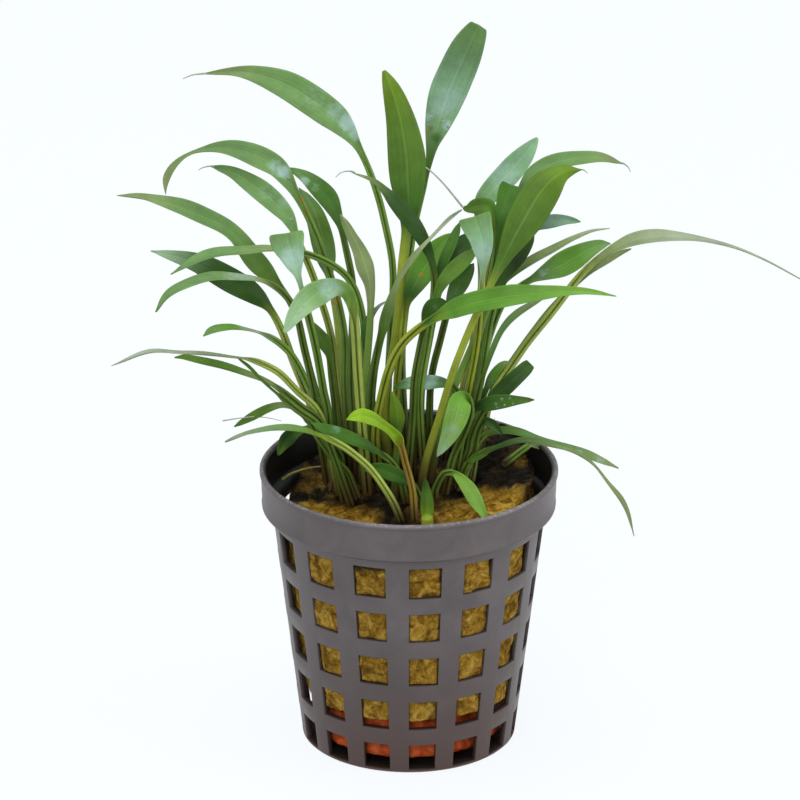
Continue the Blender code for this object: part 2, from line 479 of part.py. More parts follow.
def ease_apart(runs):
    """Move stems and blades that would cut through each other apart, mostly along the line of sight."""
    for _ in range(EASE_ROUNDS):
        spots = []
        for leaf, run in enumerate(runs):
            for i, spot in enumerate(run):
                offsets = (0.0,) if spot["width"] < 1.9 else (-0.42, -0.21, 0.0, 0.21, 0.42)
                for offset in offsets:
                    spots.append((leaf, i, spot["at"] + spot["edge"] * spot["width"] * offset))
        tree = kdtree.KDTree(len(spots))
        for index, (_, _, place) in enumerate(spots):
            tree.insert(place, index)
        tree.balance()
        meetings = {}
        for leaf, i, place in spots:
            for other_place, index, apart in tree.find_range(place, CLEAR):
                other = spots[index][0]
                if other != leaf:
                    meetings.setdefault((leaf, other), []).append((i, place, other_place, apart))
        if not meetings:
            break
        pushes = [[Vector() for _ in run] for run in runs]
        for (leaf, other), contacts in meetings.items():
            behind = sum(place.y - other_place.y for _, place, other_place, _ in contacts)
            if abs(behind) < 1e-6:
                behind = leaf - other
            order = 1.0 if behind > 0.0 else -1.0
            for i, place, other_place, apart in contacts:
                low = max(0.0, min(1.0, (place.z - POT_HEIGHT + 4.0) / 12.0))
                level = Vector((place.x - other_place.x, place.y - other_place.y, 0.0))
                if level.length < 1e-6:
                    level = Vector((order, order, 0.0))
                push = (level.normalized() * (1.0 - low) + TO_VIEWER * (-order * low))
                push *= (CLEAR - apart) * 0.55
                if push.length > pushes[leaf][i].length:
                    pushes[leaf][i] = push
        for run, push in zip(runs, pushes):
            last = len(run) - 1
            for i, spot in enumerate(run):
                nearby = [push[min(max(i + k, 0), last)] for k in (-3, -2, -1, 0, 1, 2, 3)]
                strongest = max(nearby, key=lambda vector: vector.length)
                spot["at"] = spot["at"] + strongest * 0.6
            for i in range(1, last):
                middle = (run[i - 1]["at"] + run[i + 1]["at"]) / 2
                spot = run[i]
                spot["at"] = spot["at"] + TO_VIEWER * (middle - spot["at"]).dot(TO_VIEWER) * 0.35
            foot = run[0]["at"]
            foot.z = wool_height(foot.x, foot.y) + FOOT_LIFT


def all_runs():
    runs = [frame_run(leaf_run(spec), spec[2]) for spec in LEAVES]
    ease_apart(runs)
    return [frame_run(run, spec[2]) for run, spec in zip(runs, LEAVES)]


def clear_scene():
    for thing in list(bpy.data.objects):
        bpy.data.objects.remove(thing, do_unlink=True)


def new_collection(name):
    group = bpy.data.collections.new(name)
    bpy.context.scene.collection.children.link(group)
    return group


def plain_material(name, colour, roughness, metallic=0.0):
    material = bpy.data.materials.new(name)
    material.use_nodes = True
    shader = material.node_tree.nodes["Principled BSDF"]
    shader.inputs["Base Color"].default_value = (*colour, 1.0)
    shader.inputs["Roughness"].default_value = roughness
    shader.inputs["Metallic"].default_value = metallic
    return material


def new_object(name, mesh, group, material=None, sharp=30.0):
    thing = bpy.data.objects.new(name, mesh)
    group.objects.link(thing)
    if material:
        mesh.materials.append(material)
    mesh.shade_smooth()
    mesh.set_sharp_from_angle(angle=math.radians(sharp))
    return thing


def wall_radius(height):
    """The outer radius of the pot's wall below its collar."""
    return between(BASE_RADIUS, NECK_RADIUS, height / (POT_HEIGHT - COLLAR_DEPTH))


def pot_profile():
    """The pot's section: down the outside from the lip, under the base, and up the inside."""
    collar_foot = POT_HEIGHT - COLLAR_DEPTH
    neck = collar_foot - 0.9
    outside = [
        (RIM_RADIUS - 0.5, POT_HEIGHT),
        (RIM_RADIUS, POT_HEIGHT - 0.5),
        (COLLAR_FOOT_RADIUS, collar_foot + 0.6),
        (COLLAR_FOOT_RADIUS - 0.6, collar_foot),
        (wall_radius(neck), neck),
        (wall_radius(0.6), 0.6),
        (BASE_RADIUS - 0.5, 0.0),
        (0.0, 0.0),
    ]
    inside = [
        (0.0, FLOOR),
        (BASE_RADIUS - WALL - 0.3, FLOOR),
        (wall_radius(FLOOR + 0.7) - WALL, FLOOR + 0.7),
        (wall_radius(neck) - WALL, neck),
        (RIM_RADIUS - LIP - 0.3, collar_foot + 1.4),
        (RIM_RADIUS - LIP, POT_HEIGHT - 0.4),
    ]
    return [(radius * MM, height * MM) for radius, height in outside + inside]


def turned(name, profile, group, steps, material=None):
    """A solid turned from a closed profile that runs top to bottom down its outer side at +X."""
    mesh = bpy.data.meshes.new(name)
    form = bmesh.new()
    ring = [form.verts.new((radius, 0.0, height)) for radius, height in profile]
    for a, b in zip(ring, ring[1:]):
        form.edges.new((a, b))
    if profile[0][0] > 0.0:
        form.edges.new((ring[-1], ring[0]))
    form.to_mesh(mesh)
    form.free()
    thing = new_object(name, mesh, group, material)
    screw = thing.modifiers.new("turn", "SCREW")
    screw.steps = steps
    screw.render_steps = steps
    screw.use_merge_vertices = True
    screw.merge_threshold = 0.00001
    screw.use_smooth_shade = True
    return thing


def window_cutters(group):
    """One cutter of tapered boxes, a box for each window of the net."""
    form = bmesh.new()
    for top, foot in zip(ROW_TOPS, ROW_FEET):
        for column in range(COLUMNS):
            box = bmesh.ops.create_cube(form, size=1.0)["verts"]
            inner = wall_radius(foot) - WALL - 1.4
            outer = wall_radius(top) + 1.5
            for corner in box:
                high = corner.co.z > 0.0
                height = top if high else foot
                half = wall_radius(height) * math.sin(math.radians(WINDOW_HALF_ANGLE))
                corner.co = Vector((math.copysign(half, corner.co.x),
                                    -outer if corner.co.y < 0.0 else -inner, height)) * MM
            angle = math.radians(FIRST_COLUMN + 360.0 / COLUMNS * column)
            bmesh.ops.rotate(form, verts=box, matrix=Matrix.Rotation(angle, 3, "Z"))
    mesh = bpy.data.meshes.new("window_cutters")
    form.to_mesh(mesh)
    form.free()
    cutter = bpy.data.objects.new("window_cutters", mesh)
    group.objects.link(cutter)
    cutter.hide_render = True
    cutter.display_type = "WIRE"
    return cutter


def net_pot(group, cutters):
    material = plain_material("net_pot_plastic", (0.12, 0.115, 0.12), 0.4)
    pot = turned("net_pot", pot_profile(), group, TURN_STEPS, material)
    cut = pot.modifiers.new("windows", "BOOLEAN")
    cut.operation = "DIFFERENCE"
    cut.solver = "EXACT"
    cut.object = window_cutters(cutters)
    return pot


def lumpy_plug(name, group, material, rings, top, lump, around, shift=0.0):
    """A rough round plug: rings of (radius, height) from its foot, closed by a disc below and a domed top."""
    form = bmesh.new()
    crest = rings[-1][1]
    rows = []
    for radius, height in rings:
        row = []
        for step in range(around):
            angle = math.tau * step / around
            x, y = radius * math.cos(angle), radius * math.sin(angle)
            swell = lump * noise.noise(Vector((x * 0.2, y * 0.2, height * 0.2 + 7.0)))
            x, y = x * (1.0 + swell / radius) + shift, y * (1.0 + swell / radius)
            z = top(x, y) - (crest - height) if height > crest - 2.5 else height
            row.append(form.verts.new(Vector((x, y, z)) * MM))
        rows.append(row)
    for lower, upper in zip(rows, rows[1:]):
        for step in range(around):
            following = (step + 1) % around
            form.faces.new((lower[step], lower[following], upper[following], upper[step]))
    foot = form.verts.new(Vector((0.0, 0.0, rings[0][1])) * MM)
    crown = form.verts.new(Vector((0.0, 0.0, top(0.0, 0.0))) * MM)
    for step in range(around):
        following = (step + 1) % around
        form.faces.new((rows[0][following], rows[0][step], foot))
        form.faces.new((rows[-1][step], rows[-1][following], crown))
    mesh = bpy.data.meshes.new(name)
    form.to_mesh(mesh)
    form.free()
    return new_object(name, mesh, group, material, 50.0)


def rock_wool(group):
    material = plain_material("rock_wool_fibre", (0.25, 0.16, 0.04), 0.95)
    side = POT_HEIGHT - WOOL_SINK
    rings = [(WOOL_FOOT_RADIUS - 2.0, WOOL_FOOT), (WOOL_FOOT_RADIUS, WOOL_FOOT + 1.4),
             (20.4, 22.0), (21.7, 33.0), (WOOL_TOP_RADIUS - 0.4, side - 6.0),
             (WOOL_TOP_RADIUS, side - 1.4), (WOOL_TOP_RADIUS - 1.8, side),
             (16.0, side), (10.5, side), (5.0, side)]
    return lumpy_plug("rock_wool", group, material, rings, wool_height, 0.8, 26, WOOL_SHIFT)


def clay_base(group):
    material = plain_material("baked_clay", (0.38, 0.09, 0.03), 0.9)
    foot = FLOOR + GAP
    rings = [(CLAY_RADIUS - 2.5, foot), (CLAY_RADIUS - 0.6, foot + 1.6),
             (CLAY_RADIUS, CLAY_TOP - 2.0), (CLAY_RADIUS - 0.8, CLAY_TOP - 0.4), (10.0, CLAY_TOP)]
    plug = lumpy_plug("clay_base", group, material, rings, lambda x, y: CLAY_TOP, 0.5, 20)
    return plug


def leaf_solid(spec, run, group):
    """One leaf, stalk and blade grown as one: a loft whose lens section folds up along its midrib."""
    name, tone, _, _, _, _, _, _ = spec
    rows = list(range(0, STEM_STEPS, STEM_STRIDE))
    rows += list(range(STEM_STEPS, STEM_STEPS + BLADE_STEPS + 1, BLADE_STRIDE))
    form = bmesh.new()
    sections = []
    for index in rows:
        spot = run[index]
        fold = spot["width"] * (0.16 if spot["share"] > 0.0 else 0.0)
        half = spot["edge"] * spot["width"] / 2
        thick = spot["upper"] * spot["thick"] / 2
        lift = spot["upper"] * fold
        corners = (spot["at"] + half + lift, spot["at"] + thick,
                   spot["at"] - half + lift, spot["at"] - thick)
        sections.append([form.verts.new(corner * MM) for corner in corners])
    for lower, upper in zip(sections, sections[1:]):
        for k in range(4):
            following = (k + 1) % 4
            form.faces.new((lower[k], lower[following], upper[following], upper[k]))
    form.faces.new(sections[0][::-1])
    form.faces.new(sections[-1])
    bmesh.ops.recalc_face_normals(form, faces=form.faces)
    mesh = bpy.data.meshes.new(name)
    form.to_mesh(mesh)
    form.free()
    material = plain_material(name + "_blade", TONES[tone], 0.4)
    return new_object(name, mesh, group, material, 60.0)


def main():
    clear_scene()
    parts = new_collection("potted_cryptocoryne")
    cutters = new_collection("cutters")
    net_pot(parts, cutters)
    clay_base(parts)
    rock_wool(parts)
    for spec, run in zip(LEAVES, all_runs()):
        leaf_solid(spec, run, parts)


main()
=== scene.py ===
"""The looks of a potted cryptocoryne: leaves, rock wool, baked clay, a slatted net pot and a studio."""

import math
import random

import bpy
from mathutils import Matrix, Vector, kdtree, noise


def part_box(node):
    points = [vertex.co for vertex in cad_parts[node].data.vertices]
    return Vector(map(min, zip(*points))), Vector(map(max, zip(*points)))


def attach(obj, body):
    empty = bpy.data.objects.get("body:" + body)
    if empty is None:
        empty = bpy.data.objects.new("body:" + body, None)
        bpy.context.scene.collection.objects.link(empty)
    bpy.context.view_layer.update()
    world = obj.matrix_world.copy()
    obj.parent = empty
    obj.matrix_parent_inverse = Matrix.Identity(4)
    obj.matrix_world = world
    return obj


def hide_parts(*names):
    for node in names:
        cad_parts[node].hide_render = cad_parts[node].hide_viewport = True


bl_info = {
    "name": "Potted cryptocoryne",
    "version": (1, 0, 0),
    "blender": (4, 5, 0),
    "location": "View3D > Sidebar > Plant",
    "description": "Models a potted water plant: leaves, rock wool, baked clay, net pot and studio",
    "category": "Object",
}

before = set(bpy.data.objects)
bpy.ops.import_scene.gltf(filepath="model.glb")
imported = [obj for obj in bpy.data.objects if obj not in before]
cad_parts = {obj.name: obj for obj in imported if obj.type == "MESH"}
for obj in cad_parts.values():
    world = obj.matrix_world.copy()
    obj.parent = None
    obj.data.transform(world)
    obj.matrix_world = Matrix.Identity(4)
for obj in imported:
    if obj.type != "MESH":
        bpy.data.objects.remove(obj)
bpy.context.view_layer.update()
POT_LOW, POT_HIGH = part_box("net_pot")
WOOL_LOW, WOOL_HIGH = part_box("rock_wool")
CLAY_LOW, CLAY_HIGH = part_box("clay_base")

# Lengths are in millimetres, as in the part's own drawing, and turn to metres where a mesh is made.
MM = 0.001

# The pot, measured from the centre of its underside.
POT_HEIGHT = POT_HIGH.z / MM
RIM_RADIUS = POT_HIGH.x / MM
COLLAR_FOOT_RADIUS = 27.1
COLLAR_DEPTH = 7.6
NECK_RADIUS = 25.3
BASE_RADIUS = 19.8
COLUMNS = 15
FIRST_COLUMN = 7.1
WINDOW_STEPS = 7
BAR_STEPS = 5
ROW_TOPS = (43.5, 33.9, 24.5, 15.2, 6.0)
ROW_FEET = (37.2, 28.0, 18.7, 9.3, 0.7)
WALL_BELOW = 0.35

# The rock wool's top: it slopes down to the front left, with lumps.
WOOL_SINK = 4.6
FOOT_LIFT = 1.0

# The leaves are placed by how they look from in front: millimetres across and up in the plane
# that faces the viewer through the rim's centre, and a depth behind (+) or before (-) it.
VIEW_RISE = math.radians(23.3)
VIEW_DISTANCE = 1200.0
STEM_STEPS = 20
BLADE_STEPS = 24
STEM_WIDTH = 1.1
STOUT_STEMS = {"leaf_02": 1.5, "leaf_08": 1.25, "leaf_10": 1.25, "leaf_16": 1.55, "leaf_18": 1.3,
               "leaf_28": 1.2, "leaf_30": 1.35, "leaf_48": 2.1}
CLEAR = 1.55
EASE_ROUNDS = 45
CLUMP_DEPTH = 3.0
SPREAD = 0.9
SPREAD_RISE = 30.0

# The photograph's frame: its size, its scale on that plane, and where the rim's centre shows in it.
PHOTO_PIXELS = 800
PIXELS_PER_MM = 5.431
RIM_CENTRE_PIXEL = (408.9, 466.0)
SENSOR = 36.0

RIGHT = Vector((1.0, 0.0, 0.0))
TO_VIEWER = Vector((0.0, -math.cos(VIEW_RISE), math.sin(VIEW_RISE)))
PICTURE_UP = Vector((0.0, math.sin(VIEW_RISE), math.cos(VIEW_RISE)))

# Each leaf: name, tone, side seen, foot (x, y), stem points (across, rise),
# blade points (across, rise, width), depths at the blade's base, middle and tip,
# and the turn of its face towards the sky at base and tip, in degrees.
LEAVES = [
    ("leaf_01", "pale", "top", (-3.5, 8.5),
     [(-3.9, 12), (-3.4, 24), (-2.9, 36), (-4.4, 44.5), (-6.4, 52.6), (-8.0, 56.6)],
     [(-9.4, 59.4, 1.4), (-11.8, 62.5, 4.0), (-14.1, 64.5, 5.4), (-18.2, 67.5, 5.8),
      (-22.9, 70.3, 5.3), (-27.9, 72.1, 3.5), (-32.4, 72.7, 1.7), (-38.5, 72.2, 0.4)],
     (14, 19, 24), (5, 10)),
    ("leaf_02", "olive", "under", (-3.4, 2.6),
     [(-4.7, 12), (-3.0, 20), (-1.8, 29), (-1.2, 38)],
     [(-0.5, 43.5, 1.8), (0.0, 47.5, 4.2), (-0.2, 52, 6.4), (-0.35, 56, 7.0), (-0.85, 60, 6.4),
      (-1.6, 64, 5.3), (-2.9, 68.5, 3.8), (-4.0, 71.3, 2.2), (-4.7, 72.9, 0.9)],
     (6, 8, 10), (0, 0)),
    ("leaf_03", "pale", "top", (-0.5, 9.5),
     [(-1.3, 20), (-0.4, 31), (0.3, 40), (1.7, 48)],
     [(3.6, 54.5, 0.8), (4.1, 58.5, 2.0), (5.3, 63.0, 4.9), (6.9, 68.0, 6.8), (8.9, 72.8, 6.9),
      (10.7, 76.8, 6.3), (12.0, 79.4, 5.0), (12.9, 81.2, 3.8)],
     (14, 18, 16), (0, 5)),
    ("leaf_04", "pale", "top", (-10.4, 6.4),
     [(-11.7, 14), (-11.7, 23), (-13.2, 31), (-15.3, 37.5), (-18.2, 45.5)],
     [(-21.0, 50.4, 1.5), (-23.6, 54.4, 3.6), (-27.4, 56.8, 4.4), (-31.5, 58.2, 3.6),
      (-35.5, 58.6, 2.1), (-39.4, 58.0, 0.8), (-41.8, 56.8, 0.9), (-43.8, 54.6, 1.6),
      (-44.9, 52.2, 1.6), (-44.9, 49.9, 0.5)],
     (10, 14, 11), (5, 35)),
    ("leaf_05", "fresh", "top", (-11.4, 8.6),
     [(-13.4, 17), (-14.3, 24), (-16.2, 30.5), (-18.2, 36.5)],
     [(-21.0, 42.8, 1.0), (-22.1, 45.6, 2.6), (-24.2, 48.0, 3.7), (-27.0, 50.4, 4.0),
      (-29.8, 52.5, 3.4), (-32.7, 54.2, 2.2), (-36.6, 55.2, 0.4)],
     (7, 11, 14), (5, 15)),
    ("leaf_06", "deep", "top", (-9.4, 4.4),
     [(-10.5, 13), (-10.5, 23), (-10.3, 33), (-11.6, 40)],
     [(-12.5, 44.2, 1.1), (-13.6, 46.8, 2.6), (-14.9, 49.3, 3.8), (-17.0, 51.5, 3.5),
      (-19.4, 53.5, 2.3), (-22.6, 55.1, 0.5)],
     (9, 12, 13), (0, 20)),
    ("leaf_07", "olive", "under", (-9.8, 10.2),
     [(-12.4, 18), (-13.1, 26), (-14.1, 32.5)],
     [(-14.8, 35.6, 1.6), (-15.2, 38.0, 3.6), (-15.8, 41.0, 4.4), (-16.5, 44.0, 4.2),
      (-17.6, 47.0, 3.6), (-19.0, 49.4, 2.2), (-20.3, 51.2, 0.6)],
     (10, 14, 18), (10, 20)),
    ("leaf_08", "pale", "top", (-12.6, 1.4),
     [(-15.6, 13), (-17.2, 22), (-19.3, 30.5)],
     [(-19.9, 33.2, 0.9), (-20.5, 35.2, 1.4), (-21.05, 37.0, 3.2), (-21.6, 39.0, 4.8),
      (-22.3, 41.0, 6.1), (-22.65, 43.0, 6.7)],
     (-4, -1, 1), (0, 0)),
    ("leaf_09", "fresh", "top", (-12.4, 5.0),
     [(-15.9, 10), (-17.8, 16), (-19.3, 22), (-21.0, 29)],
     [(-24.0, 33.6, 1.5), (-27.0, 36.3, 3.9), (-29.4, 38.9, 4.1), (-31.6, 42.0, 3.4),
      (-34.5, 44.4, 3.6), (-39.8, 46.6, 4.2), (-44.2, 48.3, 3.4), (-49.0, 49.5, 1.7),
      (-53.8, 49.9, 0.4)],
     (6, 9, 5), (15, 55)),
    ("leaf_10", "deep", "top", (-13.8, 8.0),
     [(-18.6, 12.5), (-21.4, 19.5), (-23.4, 25)],
     [(-25.6, 29.4, 1.5), (-28.6, 31.6, 3.9), (-32.0, 33.7, 4.9), (-36.0, 35.9, 4.7),
      (-40.0, 37.7, 3.7), (-43.7, 38.8, 2.3), (-47.6, 39.6, 0.4)],
     (7, 10, 11), (10, 30)),
    ("leaf_11", "pale", "top", (-7.4, 6.6),
     [(-8.3, 16), (-8.3, 26), (-10.4, 33.6), (-14.4, 37.4), (-18.6, 39.5)],
     [(-22.6, 40.0, 0.9), (-27.0, 39.9, 2.4), (-31.5, 39.7, 3.3), (-36.0, 38.9, 3.6),
      (-40.0, 37.7, 2.9), (-44.0, 35.3, 0.4)],
     (5, 3, 1), (55, 60)),
    ("leaf_12", "pale", "top", (-14.0, 3.4),
     [(-17.4, 13.5), (-19.4, 22), (-21.0, 29.3), (-23.4, 32.9)],
     [(-26.5, 34.3, 0.9), (-31.0, 34.9, 2.3), (-36.0, 34.9, 3.3), (-41.0, 33.6, 3.4),
      (-44.4, 31.7, 2.9), (-46.7, 28.3, 0.5)],
     (0, -2, -4), (55, 60)),
    ("leaf_13", "fresh", "top", (-13.2, 1.2),
     [(-15.6, 8.8), (-18.2, 14), (-20.9, 19.4), (-24.0, 23.2)],
     [(-27.5, 24.7, 0.6), (-30.4, 25.3, 0.9), (-33.0, 25.6, 1.7), (-36.2, 25.1, 2.0),
      (-38.0, 23.9, 0.5)],
     (4, 4, 4), (45, 45)),
    ("leaf_14", "pale", "top", (-12.4, -1.2),
     [(-16.0, 8.8), (-20.4, 13.6), (-25.0, 18.1)],
     [(-30.0, 20.0, 0.7), (-36.0, 20.6, 1.5), (-42.0, 21.0, 1.8), (-48.0, 21.1, 1.9),
      (-55.0, 18.5, 0.4)],
     (1, 0, -2), (70, 70)),
    ("leaf_15", "fresh", "top", (-11.8, -3.9),
     [(-15.4, 6.8), (-19.8, 10.9)],
     [(-24.5, 14.8, 1.0), (-28.0, 16.4, 1.6), (-33.0, 18.0, 2.1), (-38.0, 19.3, 2.1),
      (-41.3, 20.0, 1.6), (-43.2, 20.0, 0.5)],
     (-3, -4, -6), (50, 50)),
    ("leaf_16", "pale", "top", (-7.5, -2.4),
     [(-8.7, 8), (-9.4, 17), (-9.8, 24), (-10.1, 28.0)],
     [(-10.3, 29.9, 2.2), (-11.3, 31.9, 2.6), (-13.2, 32.9, 3.0), (-15.2, 32.5, 4.0),
      (-17.2, 31.5, 4.8), (-19.2, 29.9, 4.3), (-21.4, 27.0, 2.6), (-22.9, 24.5, 0.8)],
     (-7, -12, -17), (10, 15)),
    ("leaf_17", "deep", "top", (0.8, 1.6),
     [(1.0, 12), (2.9, 22), (4.6, 31), (4.9, 35)],
     [(4.5, 38.0, 1.4), (3.2, 40.6, 2.2), (1.4, 43.6, 2.9), (-0.6, 46.4, 3.3),
      (-2.6, 48.9, 2.9), (-4.6, 50.9, 1.6), (-7.2, 52.9, 0.9), (-10.8, 54.3, 0.4)],
     (0, 1.5, 7), (0, 40)),
    ("leaf_18", "pale", "top", (-6.6, 1.2),
     [(-7.0, 10), (-6.4, 18)],
     [(-5.2, 23.8, 1.5), (-4.3, 27.0, 2.1), (-3.6, 29.6, 1.8), (-2.8, 32.2, 1.3),
      (-1.7, 34.8, 1.0), (-0.3, 36.9, 1.05), (1.2, 39.0, 1.05), (2.8, 40.9, 0.8),
      (5.0, 43.2, 0.7), (7.4, 45.5, 0.7), (9.8, 47.3, 0.5)],
     (-1, -2, 2), (0, 35)),
    ("leaf_19", "pale", "top", (8.8, 3.2),
     [(10.6, 12), (12.4, 22), (13.2, 31)],
     [(13.6, 35.4, 0.9), (13.7, 37.4, 1.8), (13.6, 39.6, 3.5), (13.3, 42.0, 4.6),
      (12.6, 44.2, 5.6), (12.0, 46.1, 6.5)],
     (-1, 0, 2), (0, 0)),
    ("leaf_20", "pale", "top", (7.5, 10.3),
     [(9.9, 14), (12.2, 25), (13.4, 34), (12.8, 41.5)],
     [(12.6, 46.0, 1.4), (13.6, 48.8, 3.2), (15.4, 50.8, 4.3), (17.5, 53.0, 4.6),
      (19.7, 55.5, 4.4), (21.5, 57.6, 3.4), (22.8, 59.3, 2.0), (23.7, 60.5, 0.8)],
     (12, 14, 16), (0, 0)),
    ("leaf_21", "pale", "top", (9.6, 9.4),
     [(11.6, 13), (13.7, 24), (15.4, 35), (18.2, 45)],
     [(20.5, 51.2, 1.3), (22.3, 53.5, 2.8), (25.2, 55.3, 3.3), (28.7, 56.4, 3.4),
      (32.2, 56.9, 3.0), (35.5, 56.8, 2.2), (39.6, 55.7, 0.4)],
     (8, 10, 13), (20, 40)),
    ("leaf_22", "olive", "under", (2.0, -5.6),
     [(3.1, 0.8), (5.6, 9), (8.0, 17), (11.2, 25.2), (13.6, 30.3)],
     [(16.0, 35.4, 1.5), (17.8, 38.9, 2.9), (19.5, 42.2, 5.0), (21.5, 45.8, 6.6),
      (23.6, 49.4, 6.9), (25.9, 52.3, 5.8), (28.5, 54.2, 3.1), (31.9, 54.6, 0.4)],
     (-3, -1, 2), (0, 10)),
    ("leaf_23", "fresh", "top", (8.6, 6.2),
     [(10.8, 15), (13.6, 26.5), (15.5, 36)],
     [(16.6, 43.0, 1.2), (16.9, 45.6, 2.2), (17.6, 48.0, 3.2), (18.3, 50.2, 4.0),
      (18.9, 51.9, 3.9)],
     (4, 4.5, 6), (0, 0)),
    ("leaf_24", "pale", "top", (10.4, 5.2),
     [(12.2, 14), (14.6, 26), (16.9, 36), (19.8, 41)],
     [(22.6, 43.7, 1.0), (24.8, 44.8, 2.5), (26.8, 45.2, 2.5), (29.2, 45.3, 1.6),
      (31.6, 45.0, 0.4)],
     (5, 4, 3), (0, 10)),
    ("leaf_25", "deep", "under", (3.9, -1.6),
     [(5.6, 6.5), (8.6, 15), (11.6, 22), (14.3, 28.5)],
     [(15.9, 33.4, 1.3), (17.2, 35.1, 2.2), (18.8, 37.0, 2.8), (20.5, 39.0, 2.7),
      (22.0, 40.9, 1.7), (23.1, 42.8, 0.4)],
     (1, 3, 4), (0, 0)),
    ("leaf_26", "olive", "top", (10.9, 2.6),
     [(12.1, 10), (13.9, 20), (15.2, 28)],
     [(16.9, 33.8, 1.2), (19.8, 36.0, 2.4), (23.2, 38.2, 2.8), (26.8, 40.1, 2.5),
      (30.2, 41.9, 1.7), (33.6, 43.4, 0.8), (37.0, 43.9, 0.3)],
     (3, 4, 5), (50, 60)),
    ("leaf_27", "fresh", "top", (11.2, 7.2),
     [(13.2, 17), (15.2, 25), (17.8, 31), (20.6, 33.6)],
     [(22.9, 34.6, 1.2), (25.3, 35.7, 3.1), (27.8, 36.9, 4.7), (30.3, 38.3, 4.8),
      (33.1, 39.8, 3.5), (35.5, 40.8, 2.0), (37.2, 41.0, 0.5)],
     (7, 8, 9), (10, 25)),
    ("leaf_28", "olive", "top", (11.9, 3.4),
     [(14.9, 12), (18.6, 18), (22.0, 23), (25.3, 27), (28.5, 31.2), (31.2, 35.0)],
     [(34.3, 38.2, 1.3), (38.0, 40.4, 2.4), (41.5, 41.8, 3.6), (45.5, 42.4, 3.8),
      (49.5, 42.3, 2.8), (54.0, 41.8, 1.6), (60.0, 40.4, 0.8), (66.0, 37.9, 0.4),
      (72.6, 34.3, 0.3)],
     (4, 4, 2), (40, 65)),
    ("leaf_29", "fresh", "top", (12.8, 5.2),
     [(15.2, 13.2), (18.9, 19.0), (22.4, 24), (27.0, 29.9)],
     [(30.6, 33.4, 1.0), (33.0, 35.6, 2.0), (36.0, 37.6, 2.2), (38.6, 39.1, 1.5),
      (40.9, 40.1, 0.4)],
     (8, 8, 7), (50, 50)),
    ("leaf_30", "lime", "top", (-5.0, -1.4),
     [(-6.2, 5), (-5.0, 13), (-3.0, 19.6), (0.0, 24.0), (3.2, 26.6)],
     [(5.6, 27.7, 1.7), (8.0, 28.9, 3.4), (11.5, 30.0, 4.0), (15.5, 30.8, 4.2),
      (19.5, 31.5, 4.0), (23.5, 31.8, 3.1), (28.0, 32.2, 2.1), (33.0, 32.2, 1.2),
      (38.3, 31.3, 0.3)],
     (-6, -9, -8), (10, 25)),
    ("leaf_31", "deep", "top", (-0.4, -1.0),
     [(0.6, 8), (1.0, 16), (2.3, 23)],
     [(2.9, 26.3, 1.2), (3.5, 28.4, 2.2), (4.7, 29.6, 3.0), (6.4, 29.2, 2.6), (8.2, 28.3, 0.6)],
     (-3, -4, -3), (0, 0)),
    ("leaf_32", "lime", "top", (-2.1, 6.2),
     [(-2.3, 14), (-1.4, 22), (-0.9, 27)],
     [(-0.5, 30.3, 1.3), (0.8, 33.0, 3.5), (2.4, 35.9, 4.8), (4.1, 38.4, 4.5), (5.7, 40.5, 3.3),
      (7.2, 42.1, 1.8), (8.4, 43.2, 0.4)],
     (4, 5, 8), (0, 0)),
    ("leaf_33", "deep", "top", (0.6, 6.6),
     [(1.6, 15), (3.2, 23), (4.6, 31)],
     [(5.2, 34.4, 1.2), (6.3, 37.3, 1.9), (7.5, 40.2, 2.1), (8.6, 43.0, 1.7), (9.3, 45.0, 0.4)],
     (3, 4, 6), (20, 20)),
    ("leaf_34", "deep", "top", (2.2, 8.8),
     [(2.3, 14), (3.9, 24), (5.4, 32)],
     [(6.6, 36.6, 1.3), (8.4, 39.0, 2.7), (10.2, 40.9, 3.3), (11.9, 42.2, 2.0),
      (13.2, 43.0, 0.5)],
     (5, 7, 9), (0, 10)),
    ("leaf_35", "olive", "top", (2.9, 1.2),
     [(2.0, 12), (3.2, 21), (4.4, 28.4)],
     [(5.2, 32.2, 1.5), (6.7, 34.5, 2.4), (8.7, 36.6, 2.9), (10.8, 38.5, 2.2),
      (12.6, 40.0, 0.5)],
     (-1, 0, 3), (0, 0)),
    ("leaf_36", "deep", "top", (3.8, 6.9),
     [(4.0, 15), (5.8, 23.3)],
     [(7.4, 29.6, 1.3), (8.5, 32.0, 2.9), (9.6, 34.1, 3.4), (10.9, 35.9, 2.4),
      (12.0, 37.4, 0.5)],
     (3, 4, 6), (0, 0)),
    ("leaf_37", "deep", "top", (8.9, -0.6),
     [(9.5, 7), (9.4, 13.4)],
     [(7.6, 15.1, 1.2), (5.6, 15.4, 2.3), (3.2, 15.4, 2.9), (0.6, 15.3, 2.6), (-1.4, 14.9, 1.6),
      (-2.9, 14.3, 0.5)],
     (-1.5, 0, 1), (15, 15)),
    ("leaf_38", "pale", "top", (6.6, -5.2),
     [(7.3, -2), (8.1, 1.6), (10.2, 6.1), (11.4, 9.8), (11.3, 12.6)],
     [(10.4, 13.6, 1.6), (9.6, 12.4, 3.9), (9.1, 10.2, 4.5), (8.3, 7.8, 4.1), (7.3, 5.4, 3.0),
      (6.2, 3.4, 1.7), (5.1, 1.6, 0.4)],
     (-8, -12, -13), (0, 0)),
    ("leaf_39", "fresh", "under", (-2.6, -4.0),
     [(-2.4, 0.5), (-2.0, 4.6)],
     [(-1.9, 6.4, 1.4), (-2.1, 8.3, 2.8), (-2.3, 10.2, 2.6), (-2.7, 12.1, 1.6),
      (-3.3, 13.9, 0.4)],
     (-5, -5, -5), (0, 0)),
    ("leaf_40", "lime", "top", (1.1, -14.4),
     [(0.95, -7.6), (0.7, -4.6), (0.0, -1.6), (-0.7, 0.8), (-1.2, 3.0)],
